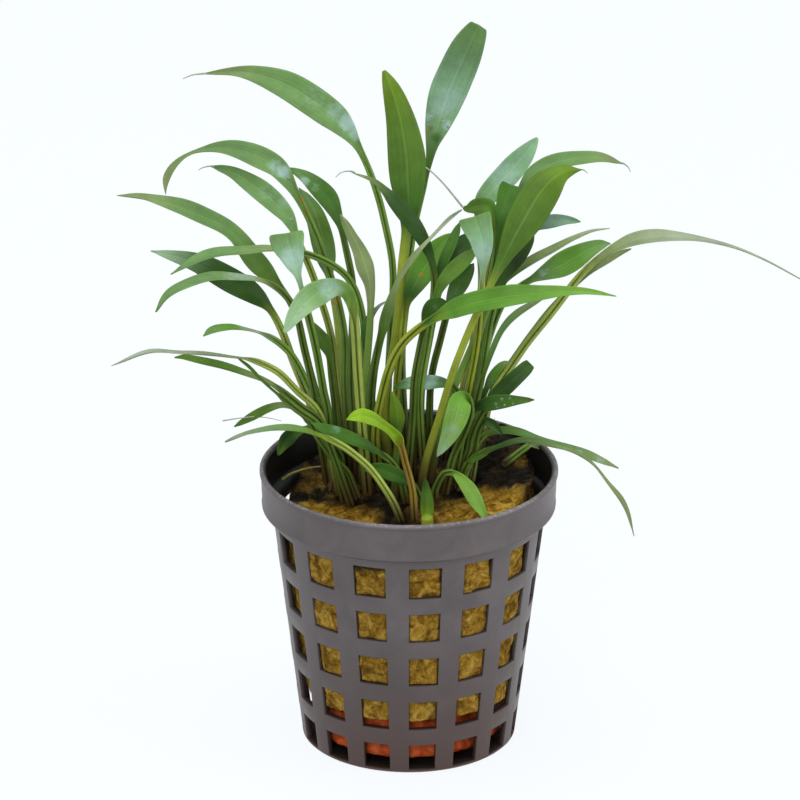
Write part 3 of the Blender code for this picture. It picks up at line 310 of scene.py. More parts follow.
     [(-1.8, 4.9, 2.3), (-3.4, 6.5, 1.8), (-5.2, 7.8, 1.9), (-7.0, 8.8, 2.6), (-8.8, 9.3, 2.7),
      (-10.3, 9.0, 1.7), (-11.6, 8.5, 0.4)],
     (-11, -13, -14), (10, 20)),
    ("leaf_41", "deep", "top", (-0.4, -7.2),
     [(-1.8, -1.5), (-3.6, 1.1)],
     [(-5.2, 2.3, 1.1), (-7.2, 3.6, 2.0), (-9.7, 4.7, 2.7), (-12.2, 5.7, 3.0),
      (-14.7, 6.6, 2.7), (-16.6, 7.4, 1.6), (-18.2, 8.1, 0.4)],
     (-8, -9, -8), (35, 35)),
    ("leaf_42", "fresh", "top", (-1.3, -13.8),
     [(-2.6, -7.2), (-4.5, -4), (-7.0, -0.6), (-9.5, 1.7), (-12.5, 3.9)],
     [(-15.5, 5.4, 1.1), (-18.5, 6.5, 1.9), (-22.0, 6.95, 2.4), (-26.0, 6.95, 2.0),
      (-30.0, 6.1, 1.3), (-33.9, 4.4, 0.4)],
     (-13, -14, -15), (60, 60)),
    ("leaf_43", "fresh", "top", (2.2, -8.4),
     [(1.4, -4.6)],
     [(0.5, -3.2, 1.2), (-1.2, -2.2, 2.4), (-3.6, -1.2, 2.9), (-6.0, -0.5, 2.2),
      (-8.6, -0.7, 0.5)],
     (-10, -11, -12), (0, 0)),
    ("leaf_44", "fresh", "top", (-9.3, -3.2),
     [(-11.4, -1.2), (-14.2, 1.8), (-16.8, 5.7), (-18.6, 8.8)],
     [(-20.8, 10.7, 1.0), (-23.4, 11.2, 1.5), (-26.2, 10.5, 2.1), (-28.8, 9.2, 2.1),
      (-30.7, 8.1, 1.3), (-32.2, 7.2, 0.4)],
     (-1, 0, 0), (45, 35)),
    ("leaf_45", "deep", "top", (-13.4, 5.6),
     [(-14.9, 3.6), (-17.0, 6.2)],
     [(-19.2, 6.9, 1.1), (-21.0, 6.1, 2.3), (-22.4, 4.9, 2.8), (-23.4, 3.4, 1.7),
      (-24.1, 1.9, 0.5)],
     (6, 7, 7), (0, 0)),
    ("leaf_46", "lime", "top", (-11.6, -0.6),
     [(-13.4, 2.4), (-15.6, 5.6)],
     [(-17.3, 7.3, 1.0), (-18.4, 8.6, 1.8), (-19.4, 9.7, 1.2), (-20.4, 10.3, 0.4)],
     (1, 1.5, 2), (0, 0)),
    ("leaf_47", "fresh", "top", (4.7, -7.4),
     [(4.9, -4.2), (6.4, -1.5)],
     [(8.3, -1.1, 0.9), (9.7, -2.5, 2.0), (11.2, -4.4, 2.8), (12.4, -6.5, 2.6),
      (13.6, -8.5, 1.5), (14.6, -10.3, 0.5)],
     (-11, -15, -18), (0, 0)),
    ("leaf_48", "fresh", "under", (3.5, -17.4),
     [(3.4, -10.4)],
     [(3.35, -9.2, 2.2), (3.35, -7.0, 2.5), (3.2, -4.8, 1.8), (3.0, -2.2, 0.5)],
     (-17.4, -17.6, -17.8), (0, 0)),
    ("leaf_49", "olive", "top", (11.0, -2.4),
     [(12.4, 3.6)],
     [(14.2, 6.3, 1.1), (17.2, 6.7, 1.9), (20.5, 6.2, 2.0), (23.5, 5.3, 1.4), (26.5, 4.5, 0.9),
      (30.0, 3.3, 1.4), (33.2, 2.1, 2.2), (36.0, 0.9, 1.6), (38.7, -0.4, 0.4)],
     (3, 4, 4), (40, 45)),
    ("leaf_50", "olive", "top", (9.4, -5.0),
     [(11.4, 0.9)],
     [(14.5, 3.0, 1.1), (18.5, 4.5, 1.6), (22.5, 4.6, 1.6), (27.0, 3.8, 1.1), (31.0, 2.4, 0.8),
      (34.5, 0.0, 0.7), (37.2, -3.6, 1.0), (39.2, -6.3, 1.3), (40.7, -9.3, 1.1),
      (41.6, -13.0, 0.4)],
     (-1, 1.5, 0), (50, 50)),
    ("leaf_51", "deep", "top", (-12.4, 3.2),
     [(-13.5, 10), (-14.3, 17)],
     [(-14.6, 20.4, 1.2), (-15.5, 22.6, 2.6), (-17.1, 24.9, 2.0), (-18.9, 27.2, 0.5)],
     (4, 4.5, 5), (0, 0)),
    ("leaf_52", "pale", "under", (-8.7, 2.2),
     [(-8.4, 10), (-7.8, 18), (-7.2, 25.5)],
     [(-7.0, 29.6, 1.3), (-7.2, 33.4, 2.0), (-8.0, 36.6, 3.3), (-9.0, 39.4, 2.8),
      (-10.4, 42.1, 2.1), (-11.5, 44.4, 1.5), (-12.7, 46.4, 0.5)],
     (3, 5, 6), (0, 20)),
    ("leaf_53", "deep", "top", (-5.3, 5.6),
     [(-6.8, 12), (-7.9, 19)],
     [(-8.2, 23.4, 1.2), (-7.8, 25.9, 2.0), (-6.8, 28.0, 1.2), (-5.4, 29.6, 0.6),
      (-4.0, 30.4, 0.3)],
     (5, 5, 6), (20, 20)),
    ("leaf_54", "olive", "top", (6.3, 7.7),
     [(9.7, 13), (12.6, 25), (14.6, 35), (15.8, 42)],
     [(15.9, 46.4, 1.2), (14.5, 47.8, 2.9), (12.4, 47.8, 3.0), (10.7, 47.4, 1.4),
      (9.8, 47.8, 0.5)],
     (8, 8.5, 8), (0, 0)),
    ("leaf_55", "deep", "top", (9.7, -1.0),
     [(11.6, 6)],
     [(14.2, 11.2, 1.5), (16.0, 12.8, 2.8), (17.9, 14.6, 3.0), (19.8, 16.4, 2.9),
      (21.4, 17.9, 2.7), (22.4, 18.9, 2.2)],
     (-1, -1, 0), (0, 0)),
    ("leaf_56", "deep", "top", (8.2, -3.2),
     [(10.0, 6)],
     [(12.3, 10.9, 1.3), (14.7, 11.5, 2.7), (17.4, 11.9, 2.6), (20.2, 12.1, 1.6),
      (23.1, 12.2, 0.4)],
     (-4, -6, -7), (0, 10)),
    ("leaf_57", "fresh", "top", (9.9, 6.0),
     [(12.6, 10)],
     [(14.2, 14.2, 1.1), (15.3, 16.2, 1.8), (16.5, 17.9, 1.6), (17.6, 18.9, 1.1),
      (18.9, 19.1, 0.4)],
     (4, 5, 6), (20, 30)),
]


def wool_height(x, y):
    """The height of the rock wool's top: it slopes down to the front left, with lumps."""
    lumps = noise.noise(Vector((x * 0.16, y * 0.16, 3.0)))
    return POT_HEIGHT - WOOL_SINK + 0.13 * x + 0.10 * y + 1.0 * lumps


def seen(across, rise, depth):
    """The point that shows at (across, rise) from the viewing place and lies at the given depth."""
    tilt_sin, tilt_cos = math.sin(VIEW_RISE), math.cos(VIEW_RISE)
    reach = (depth + VIEW_DISTANCE * tilt_cos) / (rise * tilt_sin + VIEW_DISTANCE * tilt_cos)
    height = VIEW_DISTANCE * tilt_sin + reach * (rise * tilt_cos - VIEW_DISTANCE * tilt_sin)
    return Vector((across * reach, depth, POT_HEIGHT + height))


def between(a, b, share):
    return a + (b - a) * share


def spread(depth, rise):
    """Fan the clump out from its middle, the more the higher up."""
    share = max(0.0, min(1.0, rise / SPREAD_RISE))
    return CLUMP_DEPTH + (depth - CLUMP_DEPTH) * (1.0 + SPREAD * share)


def smooth_run(points, steps):
    """Points evenly along a Catmull-Rom curve through the given vectors of any size."""
    first = [2 * a - b for a, b in zip(points[0], points[1])]
    last = [2 * a - b for a, b in zip(points[-1], points[-2])]
    guide = [first] + [list(p) for p in points] + [last]
    fine = []
    for i in range(1, len(guide) - 2):
        p0, p1, p2, p3 = guide[i - 1:i + 3]
        for step in range(12):
            t = step / 12
            fine.append([0.5 * (2 * b + (c - a) * t + (2 * a - 5 * b + 4 * c - d) * t * t
                                + (3 * b - a - 3 * c + d) * t ** 3)
                         for a, b, c, d in zip(p0, p1, p2, p3)])
    fine.append(list(points[-1]))
    lengths = [0.0]
    for a, b in zip(fine, fine[1:]):
        lengths.append(lengths[-1] + math.dist(a[:3], b[:3]))
    run, at = [], 0
    for step in range(steps + 1):
        want = lengths[-1] * step / steps
        while at < len(fine) - 2 and lengths[at + 1] < want:
            at += 1
        share = (want - lengths[at]) / max(lengths[at + 1] - lengths[at], 1e-9)
        run.append([between(a, b, min(share, 1.0)) for a, b in zip(fine[at], fine[at + 1])])
    return run


def leaf_run(spec):
    """The leaf's midrib from foot to tip: places, widths, thicknesses and turns, in millimetres."""
    name, _, _, foot, stem, blade, depths, turns = spec
    stem_width = STOUT_STEMS.get(name, STEM_WIDTH)
    standing = Vector((foot[0], foot[1], wool_height(*foot) + FOOT_LIFT))
    flat = [Vector((standing.x, (standing.z - POT_HEIGHT) * math.cos(VIEW_RISE)
                    + standing.y * math.sin(VIEW_RISE)))]
    flat += [Vector(p) for p in stem] + [Vector(p[:2]) for p in blade]
    reach = [0.0]
    for a, b in zip(flat, flat[1:]):
        reach.append(reach[-1] + (b - a).length)
    base, tip = reach[len(stem) + 1], reach[-1]
    points = []
    for i, (place, far) in enumerate(zip(flat, reach)):
        if far <= base:
            depth = between(foot[1], depths[0], far / base)
        else:
            share = (far - base) / (tip - base)
            depth = (between(depths[0], depths[1], share * 2) if share < 0.5
                     else between(depths[1], depths[2], share * 2 - 1))
        width = stem_width if i <= len(stem) else blade[i - len(stem) - 1][2]
        depth = spread(depth, place.y)
        spot = standing if i == 0 else seen(place.x, place.y, depth)
        points.append([*spot, width])
    stem_run = smooth_run(points[:len(stem) + 2], STEM_STEPS)
    blade_run = smooth_run(points[len(stem) + 1:], BLADE_STEPS)
    blend = 3
    whole = stem_run[:-1] + blade_run
    for _ in range(blend):
        joint = range(STEM_STEPS - blend, STEM_STEPS + blend + 1)
        for i in joint:
            whole[i][:3] = [(a + 2 * b + c) / 4 for a, b, c in
                            zip(whole[i - 1][:3], whole[i][:3], whole[i + 1][:3])]
    run = []
    for i, (x, y, z, width) in enumerate(whole):
        share = max(0.0, (i - STEM_STEPS) / BLADE_STEPS)
        thick = between(min(width, 1.0), 0.45, min(1.0, share * 2.5)) if share else width * 0.9
        run.append({"at": Vector((x, y, z)), "width": max(width, 0.25), "thick": thick,
                    "turn": math.radians(between(turns[0], turns[1], share) if share else 0.0),
                    "share": share})
    return run


def frame_run(run, side):
    """Give each place along a leaf its direction, its edge direction and its upper side."""
    middle = len(run) - BLADE_STEPS // 2
    ahead = (run[middle + 1]["at"] - run[middle - 1]["at"]).normalized()
    sky = 1.0 if TO_VIEWER.cross(ahead).z >= 0.0 else -1.0
    carried = TO_VIEWER.copy()
    for i, spot in enumerate(run):
        before, after = run[max(i - 1, 0)], run[min(i + 1, len(run) - 1)]
        along = (after["at"] - before["at"]).normalized()
        facing = TO_VIEWER - along * TO_VIEWER.dot(along)
        carried = carried - along * carried.dot(along)
        pull = 4.0 if carried.dot(facing) >= 0.0 else -4.0
        carried = (carried + facing * pull).normalized()
        edge = carried.cross(along) * sky
        normal = carried * math.cos(spot["turn"]) + edge * math.sin(spot["turn"])
        spot["along"] = along
        spot["normal"] = normal.normalized()
        spot["edge"] = along.cross(spot["normal"]).normalized()
        spot["upper"] = spot["normal"] * (1.0 if side == "top" else -1.0)
    return run


def ease_apart(runs):
    """Move stems and blades that would cut through each other apart, mostly along the line of sight."""
    for _ in range(EASE_ROUNDS):
        spots = []
        for leaf, run in enumerate(runs):
            for i, spot in enumerate(run):
                offsets = (0.0,) if spot["width"] < 1.9 else (-0.42, -0.21, 0.0, 0.21, 0.42)
                for offset in offsets:
                    spots.append((leaf, i, spot["at"] + spot["edge"] * spot["width"] * offset))
        tree = kdtree.KDTree(len(spots))
        for index, (_, _, place) in enumerate(spots):
            tree.insert(place, index)
        tree.balance()
        meetings = {}
        for leaf, i, place in spots:
            for other_place, index, apart in tree.find_range(place, CLEAR):
                other = spots[index][0]
                if other != leaf:
                    meetings.setdefault((leaf, other), []).append((i, place, other_place, apart))
        if not meetings:
            break
        pushes = [[Vector() for _ in run] for run in runs]
        for (leaf, other), contacts in meetings.items():
            behind = sum(place.y - other_place.y for _, place, other_place, _ in contacts)
            if abs(behind) < 1e-6:
                behind = leaf - other
            order = 1.0 if behind > 0.0 else -1.0
            for i, place, other_place, apart in contacts:
                low = max(0.0, min(1.0, (place.z - POT_HEIGHT + 4.0) / 12.0))
                level = Vector((place.x - other_place.x, place.y - other_place.y, 0.0))
                if level.length < 1e-6:
                    level = Vector((order, order, 0.0))
                push = (level.normalized() * (1.0 - low) + TO_VIEWER * (-order * low))
                push *= (CLEAR - apart) * 0.55
                if push.length > pushes[leaf][i].length:
                    pushes[leaf][i] = push
        for run, push in zip(runs, pushes):
            last = len(run) - 1
            for i, spot in enumerate(run):
                nearby = [push[min(max(i + k, 0), last)] for k in (-3, -2, -1, 0, 1, 2, 3)]
                strongest = max(nearby, key=lambda vector: vector.length)
                spot["at"] = spot["at"] + strongest * 0.6
            for i in range(1, last):
                middle = (run[i - 1]["at"] + run[i + 1]["at"]) / 2
                spot = run[i]
                spot["at"] = spot["at"] + TO_VIEWER * (middle - spot["at"]).dot(TO_VIEWER) * 0.35
            foot = run[0]["at"]
            foot.z = wool_height(foot.x, foot.y) + FOOT_LIFT


def all_runs():
    runs = [frame_run(leaf_run(spec), spec[2]) for spec in LEAVES]
    ease_apart(runs)
    return [frame_run(run, spec[2]) for run, spec in zip(runs, LEAVES)]


# Small leaves that have no solid of their own, in the same order of values as the leaves.
SMALL_LEAVES = [
    ("small_leaf_1", "olive", "top", (9.6, -3.4),
     [(10.0, -1.2)],
     [(10.9, 0.7, 0.8), (12.6, 1.7, 1.3), (14.6, 2.4, 0.4)],
     (-5, -5, -5), (0, 0)),
    ("small_leaf_2", "deep", "top", (11.4, 1.0),
     [(12.6, 6.0)],
     [(13.9, 8.6, 1.2), (15.4, 7.6, 1.8), (17.2, 5.8, 0.4)],
     (0, 0, 0), (0, 0)),
    ("small_leaf_3", "fresh", "top", (-10.6, -5.2),
     [(-15.6, 6.0), (-20.4, 10.2)],
     [(-24.4, 13.4, 0.5), (-27.0, 15.8, 0.6), (-29.4, 18.2, 0.6), (-31.4, 19.8, 0.3)],
     (-5, -6, -7), (30, 30)),
    ("small_leaf_4", "pale", "top", (17.6, 3.4),
     [(20.4, 2.6)],
     [(22.2, 3.9, 0.6), (24.4, 3.3, 0.9), (26.1, 1.5, 0.3)],
     (9, 10, 11), (0, 0)),
    ("small_leaf_5", "fresh", "top", (9.0, 1.8),
     [(11.3, 8.0), (12.6, 13.0)],
     [(13.6, 16.5, 0.8), (15.2, 21.0, 1.1), (16.8, 24.6, 1.2), (18.8, 27.2, 1.5),
      (21.5, 29.2, 1.4), (25.0, 31.0, 0.4)],
     (1, 2, 3), (20, 30)),
]

# Thin threads: where each starts (the leaf whose tip it carries on, or a point across and up),
# its depth if it has no leaf, the points that it follows, its thickness at its start and its colour.
THREADS = [
    ("leaf_01", None, [(-40.0, 72.0), (-41.7, 71.3)], 0.42, "#a3ad92"),
    ("leaf_05", None, [(-37.8, 55.0), (-38.8, 54.5)], 0.36, "#97a184"),
    ("leaf_17", None, [(-12.4, 54.1), (-13.5, 53.2)], 0.36, "#9aa48c"),
    ("leaf_21", None, [(40.4, 55.0), (40.8, 54.2)], 0.34, "#8f9a7a"),
    ("leaf_22", None, [(32.4, 54.4), (32.9, 53.9)], 0.34, "#8f9a7a"),
    ("leaf_54", None, [(8.2, 49.8), (5.9, 52.5), (3.2, 54.9), (0.0, 56.2), (-3.2, 56.3)],
     0.42, "#a4a896"),
    ("stray_hair", -1.0, [(-34.3, 8.3), (-31.5, 8.75), (-28.5, 9.05), (-26.0, 8.85), (-23.5, 8.3)],
     0.30, "#a9aea0"),
    ("wool_root", 6.0, [(-23.3, -2.5), (-21.6, -1.4), (-19.2, -0.55), (-16.4, -0.1),
                        (-13.6, -0.2)], 0.55, "#7d7432"),
]

# How each leaf is dressed: the tones of its blade at the base, the middle and the tip, and its stalk's.
# Night and shade are painted shade, glow is painted light shining through, and sage, mist and frost are
# green lightened by painted sheen.
LEAF_DRESS = {
    "leaf_01": "sage sage straw green_stalk", "leaf_02": "deep moss glow gold_stalk",
    "leaf_03": "moss mist sage green_stalk", "leaf_04": "sage sage straw green_stalk",
    "leaf_05": "sage sage sage pale_stalk", "leaf_06": "dark deep sage dark_stalk",
    "leaf_07": "sage moss sage pale_stalk", "leaf_08": "frost mist sage green_stalk",
    "leaf_09": "moss sage straw green_stalk", "leaf_10": "dark dark frost pale_stalk",
    "leaf_11": "straw sage sage green_stalk", "leaf_12": "straw sage sage dark_stalk",
    "leaf_13": "ash fresh sage green_stalk", "leaf_14": "straw ash ash pale_stalk",
    "leaf_15": "straw moss moss dark_stalk", "leaf_16": "grass sage frost pale_stalk",
    "leaf_17": "shade shade straw dark_stalk", "leaf_18": "moss straw ash dark_stalk",
    "leaf_19": "frost mist sage gold_stalk", "leaf_20": "sage mist mist green_stalk",
    "leaf_21": "sage sage straw green_stalk", "leaf_22": "moss moss glow gold_stalk",
    "leaf_23": "deep deep deep green_stalk", "leaf_24": "mist mist mist green_stalk",
    "leaf_25": "dark night dark green_stalk", "leaf_26": "moss straw ash green_stalk",
    "leaf_27": "sage fresh sage green_stalk", "leaf_28": "straw ash ash pale_stalk",
    "leaf_29": "straw straw straw green_stalk", "leaf_30": "fresh fresh grass gold_stalk",
    "leaf_31": "moss dark dark dark_stalk", "leaf_32": "dark fresh fresh gold_stalk",
    "leaf_33": "dark deep deep dark_stalk", "leaf_34": "shade shade dark dark_stalk",
    "leaf_35": "moss moss moss green_stalk", "leaf_36": "sage dark dark dark_stalk",
    "leaf_37": "dark mist deep dark_stalk", "leaf_38": "fresh grass frost dark_stalk",
    "leaf_39": "moss glow glow dark_stalk", "leaf_40": "lime lime lime brown_stalk",
    "leaf_41": "dark deep deep dark_stalk", "leaf_42": "glow sage ash pale_stalk",
    "leaf_43": "shade deep deep dark_stalk", "leaf_44": "straw moss moss dark_stalk",
    "leaf_45": "moss shade moss dark_stalk", "leaf_46": "glow glow glow dark_stalk",
    "leaf_47": "grass grass grass dark_stalk", "leaf_48": "glow moss shade gold_stalk",
    "leaf_49": "moss sage straw dark_stalk", "leaf_50": "dark straw straw dark_stalk",
    "leaf_51": "moss moss straw dark_stalk", "leaf_52": "straw straw straw green_stalk",
    "leaf_53": "deep deep ash dark_stalk", "leaf_54": "fresh moss moss gold_stalk",
    "leaf_55": "dark shade dark dark_stalk", "leaf_56": "shade deep moss dark_stalk",
    "leaf_57": "sage fresh straw green_stalk", "small_leaf_1": "moss moss moss dark_stalk",
    "small_leaf_2": "dark dark dark dark_stalk", "small_leaf_3": "moss moss moss dark_stalk",
    "small_leaf_4": "straw straw ash green_stalk", "small_leaf_5": "moss sage straw dark_stalk",
}

# Places of painted sheen on the leaves, pale bluish where they mirror the light: leaf, place across and up,
# radius and strength.
PAINTED_SHEEN_SPOTS = [
    ("leaf_01", -11.2, 63.2, 1.7, 1.0), ("leaf_01", -10.1, 61.0, 1.0, 0.9),
    ("leaf_01", -13.5, 65.4, 1.9, 0.5), ("leaf_01", -17.5, 68.0, 2.4, 0.25),
    ("leaf_03", 6.9, 62.8, 0.9, 1.0), ("leaf_03", 3.6, 64.3, 0.7, 0.9),
    ("leaf_03", 7.6, 67.6, 3.0, 0.55), ("leaf_03", 6.0, 66.3, 2.4, 0.55),
    ("leaf_04", -23.2, 54.2, 1.3, 1.0), ("leaf_04", -24.7, 55.1, 1.5, 0.55),
    ("leaf_05", -22.8, 48.5, 1.6, 0.35), ("leaf_05", -26.0, 50.5, 2.0, 0.25),
    ("leaf_06", -19.3, 52.4, 1.0, 0.7), ("leaf_06", -17.2, 51.2, 0.9, 0.35),
    ("leaf_08", -21.4, 38.2, 2.4, 0.6), ("leaf_12", -31.0, 35.0, 3.6, 0.4),
    ("leaf_16", -14.5, 32.5, 2.5, 0.6), ("leaf_19", 13.6, 39.4, 2.4, 0.5),
    ("leaf_20", 17.5, 53.5, 2.8, 0.5), ("leaf_24", 27.0, 45.0, 3.0, 0.4),
    ("leaf_27", 24.6, 35.6, 0.9, 0.5), ("leaf_37", 2.5, 16.4, 2.8, 0.9),
    ("leaf_38", 8.0, 6.6, 1.7, 0.35), ("leaf_41", -13.5, 6.7, 1.1, 0.3),
    ("leaf_49", 31.4, 2.5, 0.7, 0.6), ("leaf_49", 35.4, 1.4, 0.9, 0.4),
]

# Marks on leaves and stalks: leaf, place across and up, radius and colour.
MARKS = [
    ("leaf_04", -19.3, 48.9, 0.8, "#a9782a"), ("leaf_04", -18.4, 46.6, 0.7, "#8d7a2c"),
    ("leaf_04", -13.5, 31.0, 0.8, "#b08a2c"), ("leaf_32", 2.2, 35.3, 0.35, "#b4632a"),
    ("leaf_03", 4.0, 62.0, 0.5, "#6b5a2e"), ("leaf_03", 5.0, 60.5, 1.1, "#3f6a2a"),
    ("leaf_30", 3.4, 27.0, 1.4, "#4c7a34"), ("leaf_38", 10.2, 12.8, 1.2, "#5f8c2e"),
]

# Drops of water: leaf, place across and up, and radius.
DROPS = [
    ("leaf_03", 3.9, 64.3, 0.34), ("leaf_03", 6.3, 63.3, 0.48), ("leaf_03", 7.2, 62.6, 0.38),
    ("leaf_03", 3.6, 62.9, 0.28), ("leaf_03", 5.4, 64.8, 0.26), ("leaf_04", -22.4, 52.9, 0.36),
    ("leaf_05", -21.8, 45.5, 0.34), ("leaf_10", -43.0, 38.4, 0.26), ("leaf_16", -19.3, 29.7, 0.34),
    ("leaf_16", -20.5, 28.5, 0.28), ("leaf_27", 24.2, 35.3, 0.28), ("leaf_27", 25.4, 36.1, 0.28),
    ("leaf_56", 15.5, 11.6, 0.30), ("leaf_56", 16.6, 12.1, 0.34), ("leaf_56", 17.3, 11.4, 0.26),
    ("leaf_56", 18.2, 12.3, 0.22), ("leaf_56", 16.0, 10.9, 0.22), ("leaf_56", 18.9, 11.7, 0.22),
    ("leaf_37", -1.0, 15.6, 0.24), ("leaf_37", 0.6, 14.7, 0.24), ("leaf_37", 1.4, 16.0, 0.28),
    ("leaf_37", 3.6, 14.8, 0.24), ("leaf_38", 8.2, 10.5, 0.22), ("leaf_38", 9.6, 9.3, 0.18),
    ("leaf_38", 7.6, 5.2, 0.18), ("leaf_46", -19.0, 9.0, 0.26), ("leaf_57", 15.0, 15.4, 0.24),
]


def linear(code):
    """The scene's linear colour for an sRGB hex code."""
    parts = [int(code[i:i + 2], 16) / 255 for i in (1, 3, 5)]
    return [part / 12.92 if part <= 0.04045 else ((part + 0.055) / 1.055) ** 2.4 for part in parts]


def add_node(tree, kind, sockets=None, stops=None, **settings):
    """Add a node with its settings; sockets holds values or the outputs to link, stops a ramp's colours."""
    node = tree.nodes.new(kind)
    for name, value in settings.items():
        setattr(node, name, value)
    for name, value in (sockets or {}).items():
        if isinstance(value, bpy.types.NodeSocket):
            tree.links.new(value, node.inputs[name])
        else:
            node.inputs[name].default_value = value
    if stops:
        ramp = node.color_ramp
        while len(ramp.elements) < len(stops):
            ramp.elements.new(1.0)
        for element, (place, colour) in zip(ramp.elements, stops):
            element.position = place
            element.color = (*colour, 1.0) if len(colour) == 3 else colour
    return node


def new_material(name):
    """An empty node material and its tree, with a Principled shader wired to its output."""
    material = bpy.data.materials.new(name)
    material.use_nodes = True
    tree = material.node_tree
    return material, tree, tree.nodes["Principled BSDF"]


def blade_material(side, painted_sheen_colour):
    """Living leaf, grown: a thin waxy skin over wet green flesh.

    It gives a satin gloss, fine streaks that run along the blade, a faint midrib, soft patches of
    lighter and darker green, and a pale bluish painted sheen with ragged edges at the listed places.
    """
    material, tree, shader = new_material("grown_leaf_" + side)
    place = add_node(tree, "ShaderNodeTexCoord")
    across = add_node(tree, "ShaderNodeSeparateXYZ", {"Vector": place.outputs["UV"]})
    flesh = add_node(tree, "ShaderNodeAttribute", attribute_name="flesh")
    blade = add_node(tree, "ShaderNodeAttribute", attribute_name="blade")
    painted_sheen = add_node(tree, "ShaderNodeAttribute", attribute_name="painted_sheen")
    off_centre = add_node(tree, "ShaderNodeMath", {0: across.outputs["X"], 1: 0.5},
                          operation="SUBTRACT")
    from_midrib = add_node(tree, "ShaderNodeMath", {0: off_centre.outputs[0]},
                           operation="ABSOLUTE")
    patches = add_node(tree, "ShaderNodeTexNoise",
                       {"Vector": place.outputs["Object"], "Scale": 1 / (5.0 * MM),
                        "Detail": 5.0, "Roughness": 0.62})
    drawn = add_node(tree, "ShaderNodeMapping",
                     {"Vector": place.outputs["UV"], "Scale": (13.0, 1.1, 1.0)})
    streaks = add_node(tree, "ShaderNodeTexNoise",
                       {"Vector": drawn.outputs["Vector"], "Scale": 1.0, "Detail": 3.0,
                        "Roughness": 0.55})
    shade = add_node(tree, "ShaderNodeMath",
                     {0: streaks.outputs["Fac"], 1: 0.7, 2: patches.outputs["Fac"]},
                     operation="MULTIPLY_ADD")
    level = add_node(tree, "ShaderNodeMapRange",
                     {"Value": shade.outputs[0], "From Min": 0.62, "From Max": 1.08,
                      "To Min": 0.80, "To Max": 1.22})
    rib = add_node(tree, "ShaderNodeMapRange",
                   {"Value": from_midrib.outputs[0], "From Min": 0.006, "From Max": 0.03,
                    "To Min": 0.16 if side == "upper" else 0.30, "To Max": 0.0})
    ribbed = add_node(tree, "ShaderNodeMath",
                      {0: rib.outputs["Result"], 1: blade.outputs["Fac"],
                       2: level.outputs["Result"]}, operation="MULTIPLY_ADD")
    toned = add_node(tree, "ShaderNodeHueSaturation",
                     {"Color": flesh.outputs["Color"], "Value": ribbed.outputs[0]})
    # Painted sheen: where the blade mirrors the light, its green is mixed towards a pale bluish colour with
    # ragged edges.
    ragged = add_node(tree, "ShaderNodeTexNoise",
                      {"Vector": place.outputs["Object"], "Scale": 1 / (0.9 * MM),
                       "Detail": 4.0, "Roughness": 0.65})
    sheen_amount = add_node(tree, "ShaderNodeMath",
                         {0: ragged.outputs["Fac"], 1: 0.9, 2: painted_sheen.outputs["Fac"]},
                         operation="MULTIPLY_ADD")
    stain_and_painted_sheen = add_node(tree, "ShaderNodeMapRange",
                     {"Value": sheen_amount.outputs[0], "From Min": 0.6, "From Max": 1.35,
                      "To Min": 0.0, "To Max": 0.75})
    shown_colour = add_node(tree, "ShaderNodeMix",
                            {"Factor": stain_and_painted_sheen.outputs["Result"], "A": toned.outputs["Color"],
                             "B": (*painted_sheen_colour, 1.0)}, data_type="RGBA")
    tree.links.new(shown_colour.outputs["Result"], shader.inputs["Base Color"])

    gloss = add_node(tree, "ShaderNodeMapRange",
                     {"Value": patches.outputs["Fac"], "From Min": 0.3, "From Max": 0.7,
                      "To Min": 0.32, "To Max": 0.46})
    tree.links.new(gloss.outputs["Result"], shader.inputs["Roughness"])
    skin = add_node(tree, "ShaderNodeTexNoise",
                    {"Vector": place.outputs["Object"], "Scale": 1 / (0.5 * MM), "Detail": 2.0})
    relief = add_node(tree, "ShaderNodeMath",
                      {0: skin.outputs["Fac"], 1: 0.35, 2: streaks.outputs["Fac"]},
                      operation="MULTIPLY_ADD")
    bump = add_node(tree, "ShaderNodeBump",
                    {"Height": relief.outputs[0], "Strength": 0.35, "Distance": 0.06 * MM})
    tree.links.new(bump.outputs["Normal"], shader.inputs["Normal"])
    shader.inputs["IOR"].default_value = 1.4
    shader.inputs["Specular IOR Level"].default_value = 0.14
    shader.inputs["Subsurface Weight"].default_value = 0.08
    shader.inputs["Subsurface Radius"].default_value = (0.6, 1.0, 0.25)
    shader.inputs["Subsurface Scale"].default_value = 0.5 * MM
    return material


def thread_material():
    """Dried leaf tissue and root, drawn thin: dull, fibrous, and paler where it has dried through."""
    material, tree, shader = new_material("dried_plant_thread")
    place = add_node(tree, "ShaderNodeTexCoord")
    flesh = add_node(tree, "ShaderNodeAttribute", attribute_name="flesh")
    dried = add_node(tree, "ShaderNodeTexNoise",
                     {"Vector": place.outputs["Object"], "Scale": 1 / (1.1 * MM), "Detail": 3.0})
    level = add_node(tree, "ShaderNodeMapRange",
                     {"Value": dried.outputs["Fac"], "From Min": 0.3, "From Max": 0.7,
                      "To Min": 0.8, "To Max": 1.25})
    toned = add_node(tree, "ShaderNodeHueSaturation",
                     {"Color": flesh.outputs["Color"], "Value": level.outputs["Result"]})
    tree.links.new(toned.outputs["Color"], shader.inputs["Base Color"])
    shader.inputs["Roughness"].default_value = 0.6
    return material


